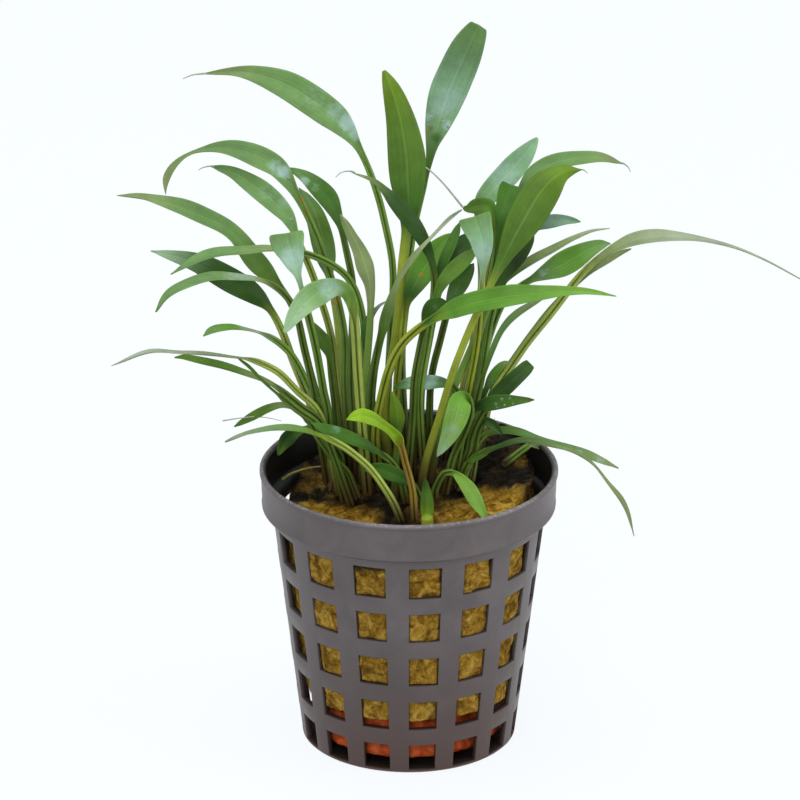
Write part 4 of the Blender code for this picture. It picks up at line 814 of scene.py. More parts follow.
def pot_material(settings):
    """Polypropylene, injection moulded: a satin grey with cloudy bloom where water dried on it.

    It paints shade as browner, darker tones near the bottom and as near-black inner faces, and paints a
    speckled highlight on the edge of the lip.
    """
    material, tree, shader = new_material("moulded_polypropylene")
    colour = list(settings.colour)
    place = add_node(tree, "ShaderNodeTexCoord")
    height = add_node(tree, "ShaderNodeSeparateXYZ", {"Vector": place.outputs["Object"]})
    inside = add_node(tree, "ShaderNodeAttribute", attribute_name="inside")
    stain_and_painted_sheen = add_node(tree, "ShaderNodeTexNoise",
                     {"Vector": place.outputs["Object"], "Scale": 1 / (8.0 * MM),
                      "Detail": 6.0, "Roughness": 0.6, "Distortion": 0.6})
    body = add_node(tree, "ShaderNodeValToRGB", {"Fac": stain_and_painted_sheen.outputs["Fac"]},
                    stops=[(0.34, [c * 0.84 for c in colour]), (0.5, colour),
                           (0.66, [c * 1.20 for c in colour])])
    # Painted shade: the plastic turns browner and darker towards the bottom.
    low = add_node(tree, "ShaderNodeMapRange",
                   {"Value": height.outputs["Z"], "From Min": 0.0, "From Max": 30.0 * MM,
                    "To Min": 0.95, "To Max": 0.0})
    shaded_low = add_node(tree, "ShaderNodeMix",
                      {"Factor": low.outputs["Result"], "A": body.outputs["Color"],
                       "B": (*settings.low_shade, 1.0)}, data_type="RGBA")
    # Painted highlight: bright speckles along the top edge of the lip.
    edge = add_node(tree, "ShaderNodeMapRange",
                    {"Value": height.outputs["Z"], "From Min": (POT_HEIGHT - 0.55) * MM,
                     "From Max": (POT_HEIGHT - 0.1) * MM})
    speckle = add_node(tree, "ShaderNodeTexNoise",
                       {"Vector": place.outputs["Object"], "Scale": 1 / (0.8 * MM),
                        "Detail": 3.0, "Roughness": 0.7})
    painted_glint = add_node(tree, "ShaderNodeMapRange",
                     {"Value": speckle.outputs["Fac"], "From Min": 0.5, "From Max": 0.72,
                      "To Min": 0.15, "To Max": 0.8})
    lip_highlight = add_node(tree, "ShaderNodeMath",
                        {0: edge.outputs["Result"], 1: painted_glint.outputs["Result"]},
                        operation="MULTIPLY")
    lip_highlighted = add_node(tree, "ShaderNodeMix",
                      {"Factor": lip_highlight.outputs[0], "A": shaded_low.outputs["Result"],
                       "B": (*linear("#a9a3a6"), 1.0)}, data_type="RGBA")
    # Painted shade: the inner faces and window jambs are near-black.
    inner_shaded = add_node(tree, "ShaderNodeMix",
                     {"Factor": inside.outputs["Fac"], "A": lip_highlighted.outputs["Result"],
                      "B": (*settings.inner, 1.0)}, data_type="RGBA")
    tree.links.new(inner_shaded.outputs["Result"], shader.inputs["Base Color"])
    rough = add_node(tree, "ShaderNodeMapRange",
                     {"Value": stain_and_painted_sheen.outputs["Fac"], "From Min": 0.3, "From Max": 0.7,
                      "To Min": 0.34, "To Max": 0.52})
    tree.links.new(rough.outputs["Result"], shader.inputs["Roughness"])
    grain = add_node(tree, "ShaderNodeTexNoise",
                     {"Vector": place.outputs["Object"], "Scale": 1 / (0.7 * MM), "Detail": 3.0})
    bump = add_node(tree, "ShaderNodeBump",
                    {"Height": grain.outputs["Fac"], "Strength": 0.3, "Distance": 0.06 * MM})
    tree.links.new(bump.outputs["Normal"], shader.inputs["Normal"])
    shader.inputs["IOR"].default_value = 1.49
    return material


def wool_material(settings):
    """Rock wool, spun and matted: rough ochre fibre, wet and dark on top with algae and with painted shade
    under the leaves.

    It paints shade as orange-brown in the hollows and highlight as straw-yellow on the fibre ends, and
    gives a wet shine on the darkened top.
    """
    material, tree, shader = new_material("spun_rock_wool")
    ochre, algae_and_shade = Vector(settings.colour), Vector(settings.algae_and_shade)
    place = add_node(tree, "ShaderNodeTexCoord")
    dark_top = add_node(tree, "ShaderNodeAttribute", attribute_name="algae_and_shade")
    lumps = add_node(tree, "ShaderNodeTexNoise",
                     {"Vector": place.outputs["Object"], "Scale": 1 / (2.2 * MM),
                      "Detail": 8.0, "Roughness": 0.68, "Distortion": 0.8})
    drawn = add_node(tree, "ShaderNodeMapping",
                     {"Vector": place.outputs["Object"], "Scale": (1.0, 1.0, 2.6),
                      "Rotation": (0.35, 0.5, 0.0)})
    fibres = add_node(tree, "ShaderNodeTexNoise",
                      {"Vector": drawn.outputs["Vector"], "Scale": 1 / (0.42 * MM),
                       "Detail": 6.0, "Roughness": 0.78, "Distortion": 2.2})
    mix = add_node(tree, "ShaderNodeMath",
                   {0: fibres.outputs["Fac"], 1: 0.55, 2: lumps.outputs["Fac"]},
                   operation="MULTIPLY_ADD")
    # Painted shade and highlight: where the bump is low the fibre is darkened to orange-brown, and where it
    # is high it is lightened to straw-yellow; the wet ramp does the same on the dark top.
    fibre_with_painted_light = add_node(tree, "ShaderNodeValToRGB", {"Fac": mix.outputs[0]},
                   stops=[(0.58, linear("#4a2a08")), (0.69, ochre * 0.5), (0.79, ochre),
                          (0.90, ochre.lerp(Vector(linear("#e8c860")), 0.7))])
    wet = add_node(tree, "ShaderNodeValToRGB", {"Fac": mix.outputs[0]},
                   stops=[(0.62, algae_and_shade * 0.35), (0.80, algae_and_shade), (0.96, algae_and_shade * 4.0)])
    colour = add_node(tree, "ShaderNodeMix",
                      {"Factor": dark_top.outputs["Fac"], "A": fibre_with_painted_light.outputs["Color"],
                       "B": wet.outputs["Color"]}, data_type="RGBA")
    tree.links.new(colour.outputs["Result"], shader.inputs["Base Color"])
    rough = add_node(tree, "ShaderNodeMapRange",
                     {"Value": dark_top.outputs["Fac"], "To Min": 0.85, "To Max": 0.34})
    tree.links.new(rough.outputs["Result"], shader.inputs["Roughness"])
    bump = add_node(tree, "ShaderNodeBump",
                    {"Height": mix.outputs[0], "Strength": 1.0, "Distance": 0.7 * MM})
    tree.links.new(bump.outputs["Normal"], shader.inputs["Normal"])
    shader.inputs["Specular IOR Level"].default_value = 0.12
    return material


def clay_material(settings):
    """Clay, low fired and rough: orange-red with darker damp patches and a faint wet shine."""
    material, tree, shader = new_material("baked_clay_pellet")
    place = add_node(tree, "ShaderNodeTexCoord")
    patches = add_node(tree, "ShaderNodeTexNoise",
                       {"Vector": place.outputs["Object"], "Scale": 1 / (3.0 * MM),
                        "Detail": 6.0, "Roughness": 0.65})
    colour = add_node(tree, "ShaderNodeValToRGB", {"Fac": patches.outputs["Fac"]},
                      stops=[(0.3, linear("#5a1c0c")), (0.5, list(settings.colour)),
                             (0.72, linear("#d8703c"))])
    tree.links.new(colour.outputs["Color"], shader.inputs["Base Color"])
    bump = add_node(tree, "ShaderNodeBump",
                    {"Height": patches.outputs["Fac"], "Strength": 0.6, "Distance": 0.4 * MM})
    tree.links.new(bump.outputs["Normal"], shader.inputs["Normal"])
    shader.inputs["Roughness"].default_value = 0.55
    shader.inputs["Specular IOR Level"].default_value = 0.12
    return material


def water_material():
    """Water, as drops: clear, smooth, and bright where it mirrors the lamps."""
    material, _, shader = new_material("clear_water_drop")
    shader.inputs["Base Color"].default_value = (0.92, 0.97, 0.94, 1.0)
    shader.inputs["Roughness"].default_value = 0.03
    shader.inputs["IOR"].default_value = 1.33
    shader.inputs["Transmission Weight"].default_value = 0.85
    return material


def floor_material():
    """Opal acrylic, lit from below: an even pale floor that takes only a faint shadow."""
    material, _, shader = new_material("lit_opal_acrylic")
    shader.inputs["Base Color"].default_value = (*(c * FLOOR_MATT for c in linear("#f8fcff")), 1.0)
    shader.inputs["Roughness"].default_value = 0.9
    shader.inputs["Specular IOR Level"].default_value = 0.0
    shader.inputs["Emission Color"].default_value = (*linear("#f8fcff"), 1.0)
    shader.inputs["Emission Strength"].default_value = FLOOR_GLOW
    return material


# The floor's own light, and how much of the lamps' light it adds to it.
FLOOR_GLOW = 0.92
FLOOR_MATT = 0.10


def deselect_all():
    if bpy.context.object and bpy.context.object.mode != "OBJECT":
        bpy.ops.object.mode_set(mode="OBJECT")
    bpy.ops.object.select_all(action="DESELECT")


def apply_modifiers(piece):
    bpy.context.view_layer.objects.active = piece
    for modifier in list(piece.modifiers):
        bpy.ops.object.modifier_apply(modifier=modifier.name)


def write_values(mesh, name, values, kind="FLOAT"):
    """Keep one value for each corner point of a mesh, for its material to read."""
    kept = mesh.attributes.new(name, kind, "POINT")
    kept.data.foreach_set("value" if kind == "FLOAT" else "color", values)


def read_values(mesh, name):
    values = [0.0] * len(mesh.vertices)
    mesh.attributes[name].data.foreach_get("value", values)
    return values


def shown(place):
    """Where a point shows: millimetres across and up in the plane that faces the viewer."""
    off = place - Vector((0.0, 0.0, POT_HEIGHT))
    scale = VIEW_DISTANCE / (VIEW_DISTANCE - off.dot(TO_VIEWER))
    return off.dot(RIGHT) * scale, off.dot(PICTURE_UP) * scale


def settle(piece, name, materials, smooth_angle=None):
    """Name a finished piece, give it its materials and shading, and put its place in its mesh."""
    bpy.ops.object.select_all(action="DESELECT")
    piece.select_set(True)
    bpy.context.view_layer.objects.active = piece
    bpy.ops.object.transform_apply(location=True, rotation=True, scale=True)
    piece.name = name
    piece.data.name = name
    piece.data.materials.clear()
    for material in materials:
        piece.data.materials.append(material)
    if smooth_angle is None:
        bpy.ops.object.shade_smooth()
    else:
        bpy.ops.object.shade_smooth_by_angle(angle=math.radians(smooth_angle))
    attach(piece, "root")
    return piece


def wall_radius(height):
    """The outer radius of the pot's wall below its collar."""
    return between(BASE_RADIUS, NECK_RADIUS, height / (POT_HEIGHT - COLLAR_DEPTH))


def pot_rings():
    """(radius, height) of each ring of the pot's outer skin, from the lip down to the underside."""
    collar_foot = POT_HEIGHT - COLLAR_DEPTH
    rings = [
        (RIM_RADIUS - 1.0, POT_HEIGHT - 0.25),
        (RIM_RADIUS - 0.6, POT_HEIGHT),
        (RIM_RADIUS - 0.25, POT_HEIGHT - 0.05),
        (RIM_RADIUS, POT_HEIGHT - 0.35),
        (RIM_RADIUS, POT_HEIGHT - 0.85),
        (RIM_RADIUS - 0.28, POT_HEIGHT - 1.05),
        (between(RIM_RADIUS, COLLAR_FOOT_RADIUS, 0.6) - 0.1, POT_HEIGHT - 4.2),
        (COLLAR_FOOT_RADIUS - 0.1, collar_foot + 1.2),
        (COLLAR_FOOT_RADIUS + 0.05, collar_foot + 0.9),
        (COLLAR_FOOT_RADIUS, collar_foot + 0.4),
        (COLLAR_FOOT_RADIUS - 0.4, collar_foot + 0.02),
        (COLLAR_FOOT_RADIUS - 1.2, collar_foot - 0.2),
        (wall_radius(collar_foot) + 0.1, collar_foot - 0.5),
        (wall_radius(collar_foot - 1.2), collar_foot - 1.2),
    ]
    for top, foot in zip(ROW_TOPS, ROW_FEET):
        rings += [(wall_radius(top), top), (wall_radius(foot), foot)]
    rings += [(wall_radius(WALL_BELOW), WALL_BELOW), (BASE_RADIUS - 0.25, 0.08),
              (BASE_RADIUS - 0.6, 0.0), (BASE_RADIUS - 2.4, 0.0)]
    return rings


# Below this height the pot's underside counts as its outer skin.
FLOOR_SKIN = 0.5


def in_window(face):
    """Whether a face of the pot's skin lies in one of the net's windows."""
    middle = face.center
    height = middle.z / MM
    row = any(foot < height < top for top, foot in zip(ROW_TOPS, ROW_FEET))
    pitch = 360.0 / COLUMNS
    angle = math.degrees(math.atan2(middle.x, -middle.y)) - FIRST_COLUMN
    off = (angle + pitch / 2) % pitch - pitch / 2
    half = pitch * WINDOW_STEPS / (WINDOW_STEPS + BAR_STEPS) / 2
    return row and abs(off) < half


def depth_inside(spot):
    """How far a point of the pot lies behind its outer skin: 0 on the skin, 1 on the inner wall."""
    collar = spot.z > POT_HEIGHT - COLLAR_DEPTH
    share = (spot.z - POT_HEIGHT + COLLAR_DEPTH) / COLLAR_DEPTH
    skin = between(COLLAR_FOOT_RADIUS - 0.5, RIM_RADIUS - 0.5, share) if collar else wall_radius(spot.z)
    behind = skin - math.hypot(spot.x, spot.y)
    return max(0.0, min(1.0, (behind - 0.12) / 0.5)) if spot.z > FLOOR_SKIN else 0.0


def make_net_pot(settings):
    """The pot's skin is drawn down ring by ring, its windows are cut out, and it is given its wall."""
    around = COLUMNS * (WINDOW_STEPS + BAR_STEPS)
    rings = pot_rings()
    first_radius, first_height = rings[0]
    window_edge = math.radians(FIRST_COLUMN - 90.0 + 180.0 * WINDOW_STEPS / around)
    bpy.ops.mesh.primitive_circle_add(vertices=around, radius=first_radius * MM,
                                      location=(0.0, 0.0, first_height * MM),
                                      rotation=(0.0, 0.0, window_edge))
    pot = bpy.context.object
    bpy.ops.object.transform_apply(location=True, rotation=True)
    bpy.ops.object.mode_set(mode="EDIT")
    bpy.ops.mesh.select_all(action="SELECT")
    for (radius, height), (next_radius, next_height) in zip(rings, rings[1:]):
        grow = next_radius / radius
        bpy.ops.mesh.extrude_edges_move(
            TRANSFORM_OT_translate={"value": (0.0, 0.0, (next_height - height) * MM)})
        bpy.ops.transform.resize(value=(grow, grow, 1.0),
                                 center_override=(0.0, 0.0, next_height * MM))
    bpy.ops.mesh.edge_face_add()
    bpy.ops.mesh.select_all(action="SELECT")
    bpy.ops.mesh.normals_make_consistent(inside=False)
    bpy.ops.mesh.select_mode(type="FACE")
    bpy.ops.mesh.select_all(action="DESELECT")
    bpy.ops.object.mode_set(mode="OBJECT")
    for face in pot.data.polygons:
        face.select = in_window(face)
    bpy.ops.object.mode_set(mode="EDIT")
    bpy.ops.mesh.delete(type="FACE")
    bpy.ops.object.mode_set(mode="OBJECT")
    wall = pot.modifiers.new("wall", "SOLIDIFY")
    wall.thickness = settings.wall
    wall.offset = -1.0
    edges = pot.modifiers.new("edges", "BEVEL")
    edges.width = 0.16 * MM
    edges.segments = 2
    edges.limit_method = "ANGLE"
    edges.angle_limit = math.radians(50.0)
    apply_modifiers(pot)
    write_values(pot.data, "inside", [depth_inside(vertex.co / MM) for vertex in pot.data.vertices])
    settle(pot, "net_pot_moulding", [pot_material(settings)], 40.0)
    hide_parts("net_pot")


def algae_and_shade_share(x, y, z):
    """How dark with algae and painted shade the rock wool is: its top is, save for two ochre lumps at the
    front.
    """
    top = max(0.0, min(1.0, (z - wool_height(x, y) + 3.4) / 2.2))
    blotch = noise.noise(Vector((x * 0.24, y * 0.24, z * 0.24 + 4.0))) * 0.7
    left_lump = math.hypot((x + 14.5) / 9.0, (y + 11.5) / 8.5)
    right_lump = math.hypot((x - 14.0) / 8.5, (y + 14.0) / 9.0)
    middle = math.hypot((x + 1.5) / 6.0, (y + 21.0) / 3.0)
    ochre = max(0.0, 1.3 - min(left_lump, right_lump, middle + 0.35))
    return max(0.0, min(1.0, top * (1.05 + blotch - ochre * 1.9) + max(0.0, blotch - 0.36)))


def window_share(x, y, z):
    """How far inside one of the net's windows a place on the wall is: 0 at its edges, 1 within."""
    pitch = 360.0 / COLUMNS
    angle = math.degrees(math.atan2(x, -y)) - FIRST_COLUMN
    off = (angle + pitch / 2) % pitch - pitch / 2
    half = pitch * WINDOW_STEPS / (WINDOW_STEPS + BAR_STEPS) / 2
    beside = math.radians(half - abs(off)) * math.hypot(x, y)
    above = max(min(top - z, z - foot) for top, foot in zip(ROW_TOPS, ROW_FEET))
    return smooth_share((min(beside, above) + 0.2) / 0.5)


def wool_lift(x, y):
    """The lumps and hollows of the rock wool's top, beyond its plain slope."""
    lift = 0.0
    for at_x, at_y, reach, rise in ((-12.5, -15.0, 6.5, 2.0), (14.5, -13.5, 6.5, 1.7),
                                    (20.0, -7.5, 2.2, 1.6), (-1.0, -19.0, 5.0, 0.8),
                                    (-17.0, 8.0, 6.0, -1.8), (12.0, 4.0, 6.0, -0.8),
                                    (-19.5, -5.0, 4.5, 1.6), (7.0, -9.0, 4.0, -1.2),
                                    (15.0, 16.0, 6.0, 2.4)):
        lift += rise * math.exp(-((x - at_x) ** 2 + (y - at_y) ** 2) / (reach * reach))
    return lift


def make_rock_wool(settings):
    """A plug remeshed to fine faces, lumped and roughened, that swells out into the net's windows."""
    foot, crest = WOOL_LOW.z / MM, POT_HEIGHT - WOOL_SINK
    low_radius, high_radius = wall_radius(foot) - 1.3, 23.6
    bpy.ops.mesh.primitive_cone_add(vertices=96, radius1=low_radius * MM,
                                    radius2=high_radius * MM, depth=(crest - foot) * MM,
                                    location=(0.0, 0.0, (crest + foot) / 2 * MM))
    plug = bpy.context.object
    bpy.ops.object.transform_apply(location=True)
    fine = plug.modifiers.new("fine", "REMESH")
    fine.mode = "VOXEL"
    fine.voxel_size = settings.grain
    apply_modifiers(plug)
    for vertex in plug.data.vertices:
        x, y, z = vertex.co / MM
        share = max(0.0, min(1.0, (z - foot) / (crest - foot)))
        rim = math.hypot(x, y) / between(low_radius, high_radius, share)
        z += (wool_height(x, y) - crest + wool_lift(x, y)) * max(0.0, share * 3.0 - 2.0)
        spot = Vector((x, y, z))
        coarse = noise.noise(spot * 0.34)
        fuzz = noise.fractal(spot * 1.1, 0.7, 2.3, 4) * 0.5
        if rim > 0.9:
            flank = smooth_share(abs(spot.x) / math.hypot(x, y) * 5.0 - 4.0)
            swell = window_share(x, y, z) * (1.0 + coarse * 0.6) * (1.0 - flank)
            inner = wall_radius(min(z, POT_HEIGHT - COLLAR_DEPTH)) - 1.3
            thin = flank * (0.5 + 2.6 * max(0.0, share - 0.45) * (1.0 if x < 0 else 0.6))
            reach = inner + swell - thin + coarse * 0.3 * share + fuzz * 0.4
            limit = wall_radius(z) - 0.04 if swell > 0.2 else inner + 0.12
            spot.xy = spot.xy.normalized() * min(reach, limit)
        if share > 0.93:
            spot.z += coarse * 0.9 + fuzz * 0.9
        vertex.co = spot * MM
    write_values(plug.data, "algae_and_shade",
                 [algae_and_shade_share(*(vertex.co / MM)) for vertex in plug.data.vertices])
    fibre = wool_material(settings)
    settle(plug, "rock_wool_plug", [fibre])
    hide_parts("rock_wool")
    add_strands(plug, fibre, settings)


def add_strands(plug, fibre, settings):
    """Short curved strands that lie over the rock wool, each a thin three-sided thread."""
    chance = random.Random(5)
    corners, faces = [], []
    starts = [vertex for vertex in plug.data.vertices
              if vertex.normal.z > -0.3 and vertex.co.z > WOOL_LOW.z + 1.0 * MM]
    for _ in range(settings.strands):
        vertex = chance.choice(starts)
        outward = vertex.normal
        lie = outward.cross(Vector((chance.gauss(0, 1), chance.gauss(0, 1), chance.gauss(0, 1))))
        lie.normalize()
        curl = outward.cross(lie) * chance.uniform(-0.6, 0.6)
        length = chance.uniform(0.8, 2.6) * MM
        thick = chance.uniform(0.025, 0.05) * MM
        base = len(corners)
        for step in range(5):
            t = step / 4
            lift = outward * 0.2 * math.sin(math.pi * t) * MM
            spot = vertex.co + lie * length * (t - 0.5) + curl * length * (t - 0.5) ** 2 + lift
            for k in range(3):
                turn = math.tau * k / 3
                corners.append(spot + (outward * math.cos(turn)
                                       + outward.cross(lie) * math.sin(turn)) * thick)
        for step in range(4):
            for k in range(3):
                a, b = base + step * 3 + k, base + step * 3 + (k + 1) % 3
                faces.append((a, b, b + 3, a + 3))
        faces.append((base + 2, base + 1, base))
        faces.append((base + 12, base + 13, base + 14))
    mesh = bpy.data.meshes.new("rock_wool_strands")
    mesh.from_pydata(corners, [], faces)
    write_values(mesh, "algae_and_shade", [algae_and_shade_share(*(corner / MM)) for corner in corners])
    strands = bpy.data.objects.new("rock_wool_strands", mesh)
    bpy.context.scene.collection.objects.link(strands)
    settle(strands, "rock_wool_strands", [fibre])


def make_clay_base(settings):
    """A disc of clay with a rough skin and a worn edge."""
    radius = CLAY_HIGH.x / MM
    foot, top = CLAY_LOW.z / MM, CLAY_HIGH.z / MM
    bpy.ops.mesh.primitive_cylinder_add(vertices=64, radius=radius * MM, depth=(top - foot) * MM,
                                        location=(0.0, 0.0, (top + foot) / 2 * MM))
    disc = bpy.context.object
    bpy.ops.object.transform_apply(location=True)
    worn = disc.modifiers.new("worn", "BEVEL")
    worn.width = 1.2 * MM
    worn.segments = 3
    fine = disc.modifiers.new("fine", "REMESH")
    fine.mode = "VOXEL"
    fine.voxel_size = settings.grain
    apply_modifiers(disc)
    for vertex in disc.data.vertices:
        spot = vertex.co / MM
        rough = noise.fractal(spot * 0.6, 0.9, 2.1, 4) * 0.35 - 0.2
        outward = Vector((spot.x, spot.y, 0.0)).normalized()
        vertex.co = (spot + outward * rough) * MM
    settle(disc, "baked_clay_disc", [clay_material(settings)])
    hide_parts("clay_base")


def smooth_share(share):
    share = max(0.0, min(1.0, share))
    return share * share * (3.0 - 2.0 * share)


def leaf_section(spot, at, form):
    """A point across the leaf: an open channel on the stalk that flattens into the blade's fold."""
    width, edge, upper = form["width"], spot["edge"] * form["hand"], spot["upper"]
    half_turn = math.radians(form["wrap"]) / 2 * at
    ring = max(0.1, width / 2 - 0.15)
    stalk = edge * math.sin(half_turn) * ring - upper * math.cos(half_turn) * ring
    reach = width / 2 * at
    wave = form["wave"] * math.sin(form["beat"]) * at * at
    lift = width * (form["fold"] * abs(at) ** 1.2 - form["roll"] * at ** 4) + wave
    blade = edge * reach + upper * (lift - 0.12 * (1.0 - abs(at)))
    return spot["at"] + stalk.lerp(blade, form["open"])


def make_leaf(spec, run, skins, settings):
    """One leaf: a grid laid along its midrib row by row, given its thickness and smoothed."""
    name, tone, side = spec[:3]
    chance = random.Random(name)
    rows = len(run) - 1
    bpy.ops.mesh.primitive_grid_add(x_subdivisions=settings.across, y_subdivisions=rows, size=1.0)
    leaf = bpy.context.object
    mesh = leaf.data
    reach = [0.0]
    for a, b in zip(run, run[1:]):
        reach.append(reach[-1] + (b["at"] - a["at"]).length)
    fold = chance.uniform(0.05, 0.15)
    roll = chance.uniform(0.0, 0.06)
    wave = chance.uniform(0.0, 0.25)
    beat = chance.uniform(0.0, math.tau)
    stem_width = STOUT_STEMS.get(name, STEM_WIDTH)
    blunt = run[-1]["width"] > 1.5
    round_tip = run[-1]["width"] > 0.65
    narrowing = ({rows - 1: 0.97, rows: 0.9} if blunt else
                 {rows - 1: 0.92, rows: 0.6} if round_tip else {rows - 1: 0.6, rows: 0.2})
    forms = []
    for row, spot in enumerate(run):
        share = row / rows
        opening = smooth_share((row - STEM_STEPS + 3) / 5.0)
        width = spot["width"]
        if row < STEM_STEPS:
            width = between(stem_width * 1.25, stem_width, min(1.0, row / 8.0))
        width = between(width, max(width, spot["width"]), opening) * narrowing.get(row, 1.0)
        forms.append({"width": width, "wrap": 352.0 - 20.0 * share, "open": opening,
                      "fold": fold, "roll": roll, "wave": wave * opening,
                      "beat": beat + reach[row] * 0.55,
                      "hand": 1.0 if side == "top" else -1.0})
    thick = leaf.vertex_groups.new(name="thick")
    openings, shares = [], []
    for vertex in mesh.vertices:
        at = max(-1.0, min(1.0, vertex.co.x * 2.0))
        row = round((vertex.co.y + 0.5) * rows)
        form = forms[row]
        openings.append(form["open"])
        shares.append((row - STEM_STEPS) / (STEM_STEPS if row < STEM_STEPS else BLADE_STEPS))
        body = between(1.0, 1.0 - 0.75 * abs(at), form["open"])
        thick.add([vertex.index], body * min(1.0, 0.25 + form["width"] / 1.5), "REPLACE")
        vertex.co = leaf_section(run[row], at, form) * MM
    write_values(mesh, "blade", openings)
    write_values(mesh, "share", shares)
    skin = leaf.modifiers.new("skin", "SOLIDIFY")
    skin.thickness = settings.thickness
    skin.offset = -1.0
    skin.vertex_group = "thick"
    skin.thickness_vertex_group = 0.15
    skin.material_offset = 1
    skin.material_offset_rim = 1
    smooth = leaf.modifiers.new("smooth", "SUBSURF")
    smooth.levels = 1
    smooth.render_levels = 1
    for material in skins:
        mesh.materials.append(material)
    apply_modifiers(leaf)
    leaf.vertex_groups.clear()
    paint_leaf(leaf, name, settings)
    settle_leaf(leaf, name)
    return leaf


def paint_leaf(leaf, name, settings):
    """Give each point of a leaf its green, from its stalk's foot to its tip, and its painted sheen."""
    mesh = leaf.data
    chance = random.Random(name + "_green")
    level = chance.uniform(0.94, 1.06)
    base, middle, tip, stalk = (Vector(getattr(settings, tone)) * level
                                for tone in LEAF_DRESS[name].split())
    # The stalks' feet are browner and darker: partly their own brown, partly painted shade low in the
    # clump.
    foot = Vector(settings.shaded_stalk_foot)
    marks = [(a, r, size, Vector(linear(code)))
             for leaf_name, a, r, size, code in MARKS if leaf_name == name]
    # The places of painted sheen that lie on this leaf.
    sheen_spots = [place[1:] for place in PAINTED_SHEEN_SPOTS if place[0] == name]
    greens, painted_sheen = [], []
    for vertex, share, opened in zip(mesh.vertices, read_values(mesh, "share"),
                                     read_values(mesh, "blade")):
        along = max(0.0, share) * 2.0
        blade = (base.lerp(middle, smooth_share(along)) if along < 1.0
                 else middle.lerp(tip, smooth_share(along - 1.0)))
        green = foot.lerp(stalk, smooth_share((share + 1.0) / 0.38)).lerp(blade, opened)
        across, rise = shown(vertex.co / MM)
        for a, r, size, code in marks:
            green = green.lerp(code, smooth_share(1.3 - math.hypot(across - a, rise - r) / size))
        greens += [*green, 1.0]
        painted_sheen.append(max([0.0] + [strength * smooth_share(1.4 - math.hypot(across - a, rise - r)
                                                         / size)
                                 for a, r, size, strength in sheen_spots]))
    write_values(mesh, "flesh", greens, "FLOAT_COLOR")
    write_values(mesh, "painted_sheen", painted_sheen)


def settle_leaf(leaf, name):
    bpy.ops.object.select_all(action="DESELECT")
    leaf.select_set(True)
    bpy.context.view_layer.objects.active = leaf
    bpy.ops.object.shade_smooth()
    leaf.name = name + "_grown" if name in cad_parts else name
    leaf.data.name = leaf.name
    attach(leaf, "root")
    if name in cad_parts:
        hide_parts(name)


def make_leaves(settings):
    skins = [blade_material(side, settings.painted_sheen_colour) for side in ("upper", "under")]
    for spec, run in zip(LEAVES, all_runs()):
        make_leaf(spec, run, skins, settings)
    for spec in SMALL_LEAVES:
        make_leaf(spec, frame_run(leaf_run(spec), spec[2]), skins, settings)


def leaf_runs():
    """Every leaf's run by its name."""
    return {spec[0]: run for spec, run in zip(LEAVES, all_runs())}


def make_threads(settings):
    """Thin threads: the leaves' dried tips, a stray hair, and a root that lies on the rock wool."""
    material = thread_material()
    runs = leaf_runs()
    for name, depth, points, thick, code in THREADS:
        curve = bpy.data.curves.new(name + "_thread", "CURVE")
        curve.dimensions = "3D"
        curve.bevel_depth = thick / 2 * MM * settings.weight
        curve.bevel_resolution = 2
        curve.use_fill_caps = True
        line = curve.splines.new("POLY")
        start = []
        if name in runs:
            tip = runs[name][-1]["at"]
            start, depth = [[*runs[name][-2]["at"]], [*tip]], tip.y
        path = smooth_run(start + [[*seen(a, r, depth)] for a, r in points],
                          6 * (len(points) + len(start)))
        line.points.add(len(path) - 1)
        for i, (point, place) in enumerate(zip(line.points, path)):
            point.co = (*(Vector(place) * MM), 1.0)
            point.radius = 1.0 - 0.65 * i / len(path)
        thread = bpy.data.objects.new(name + "_thread", curve)
        bpy.context.scene.collection.objects.link(thread)
        bpy.ops.object.select_all(action="DESELECT")
        thread.select_set(True)
        bpy.context.view_layer.objects.active = thread
        bpy.ops.object.convert(target="MESH")
        thread = bpy.context.object
        write_values(thread.data, "flesh", [*linear(code), 1.0] * len(thread.data.vertices),
                     "FLOAT_COLOR")
        settle(thread, name + "_thread", [material])


def make_drops(settings):
    """Drops of water, modelled once, that sit flattened on the leaves that they were copied to."""
    bpy.ops.mesh.primitive_uv_sphere_add(segments=20, ring_count=10, radius=1.0 * MM)
    first = bpy.context.object
    runs = leaf_runs()
    drops = []
    for name, across, rise, radius in DROPS:
        leaf = bpy.data.objects[name + "_grown"]
        nearest = min(runs[name], key=lambda spot: math.dist(shown(spot["at"]), (across, rise)))
        before = seen(across, rise, nearest["at"].y) + TO_VIEWER
        found, place, facing, _ = leaf.closest_point_on_mesh(before * MM)
        if not found:
            raise RuntimeError("No place for a drop on " + name)
        drop = first.copy()
        drop.data = first.data.copy()
        bpy.context.scene.collection.objects.link(drop)
        drop.location = place
        drop.rotation_euler = facing.to_track_quat("Z", "Y").to_euler()
        drop.scale = (radius * settings.size, radius * settings.size, radius * 0.55)
        drops.append(drop)
    bpy.data.objects.remove(first, do_unlink=True)
    bpy.ops.object.select_all(action="DESELECT")
    for drop in drops:
        drop.select_set(True)
    bpy.context.view_layer.objects.active = drops[0]
    bpy.ops.object.join()
    settle(bpy.context.object, "water_drops", [water_material()])


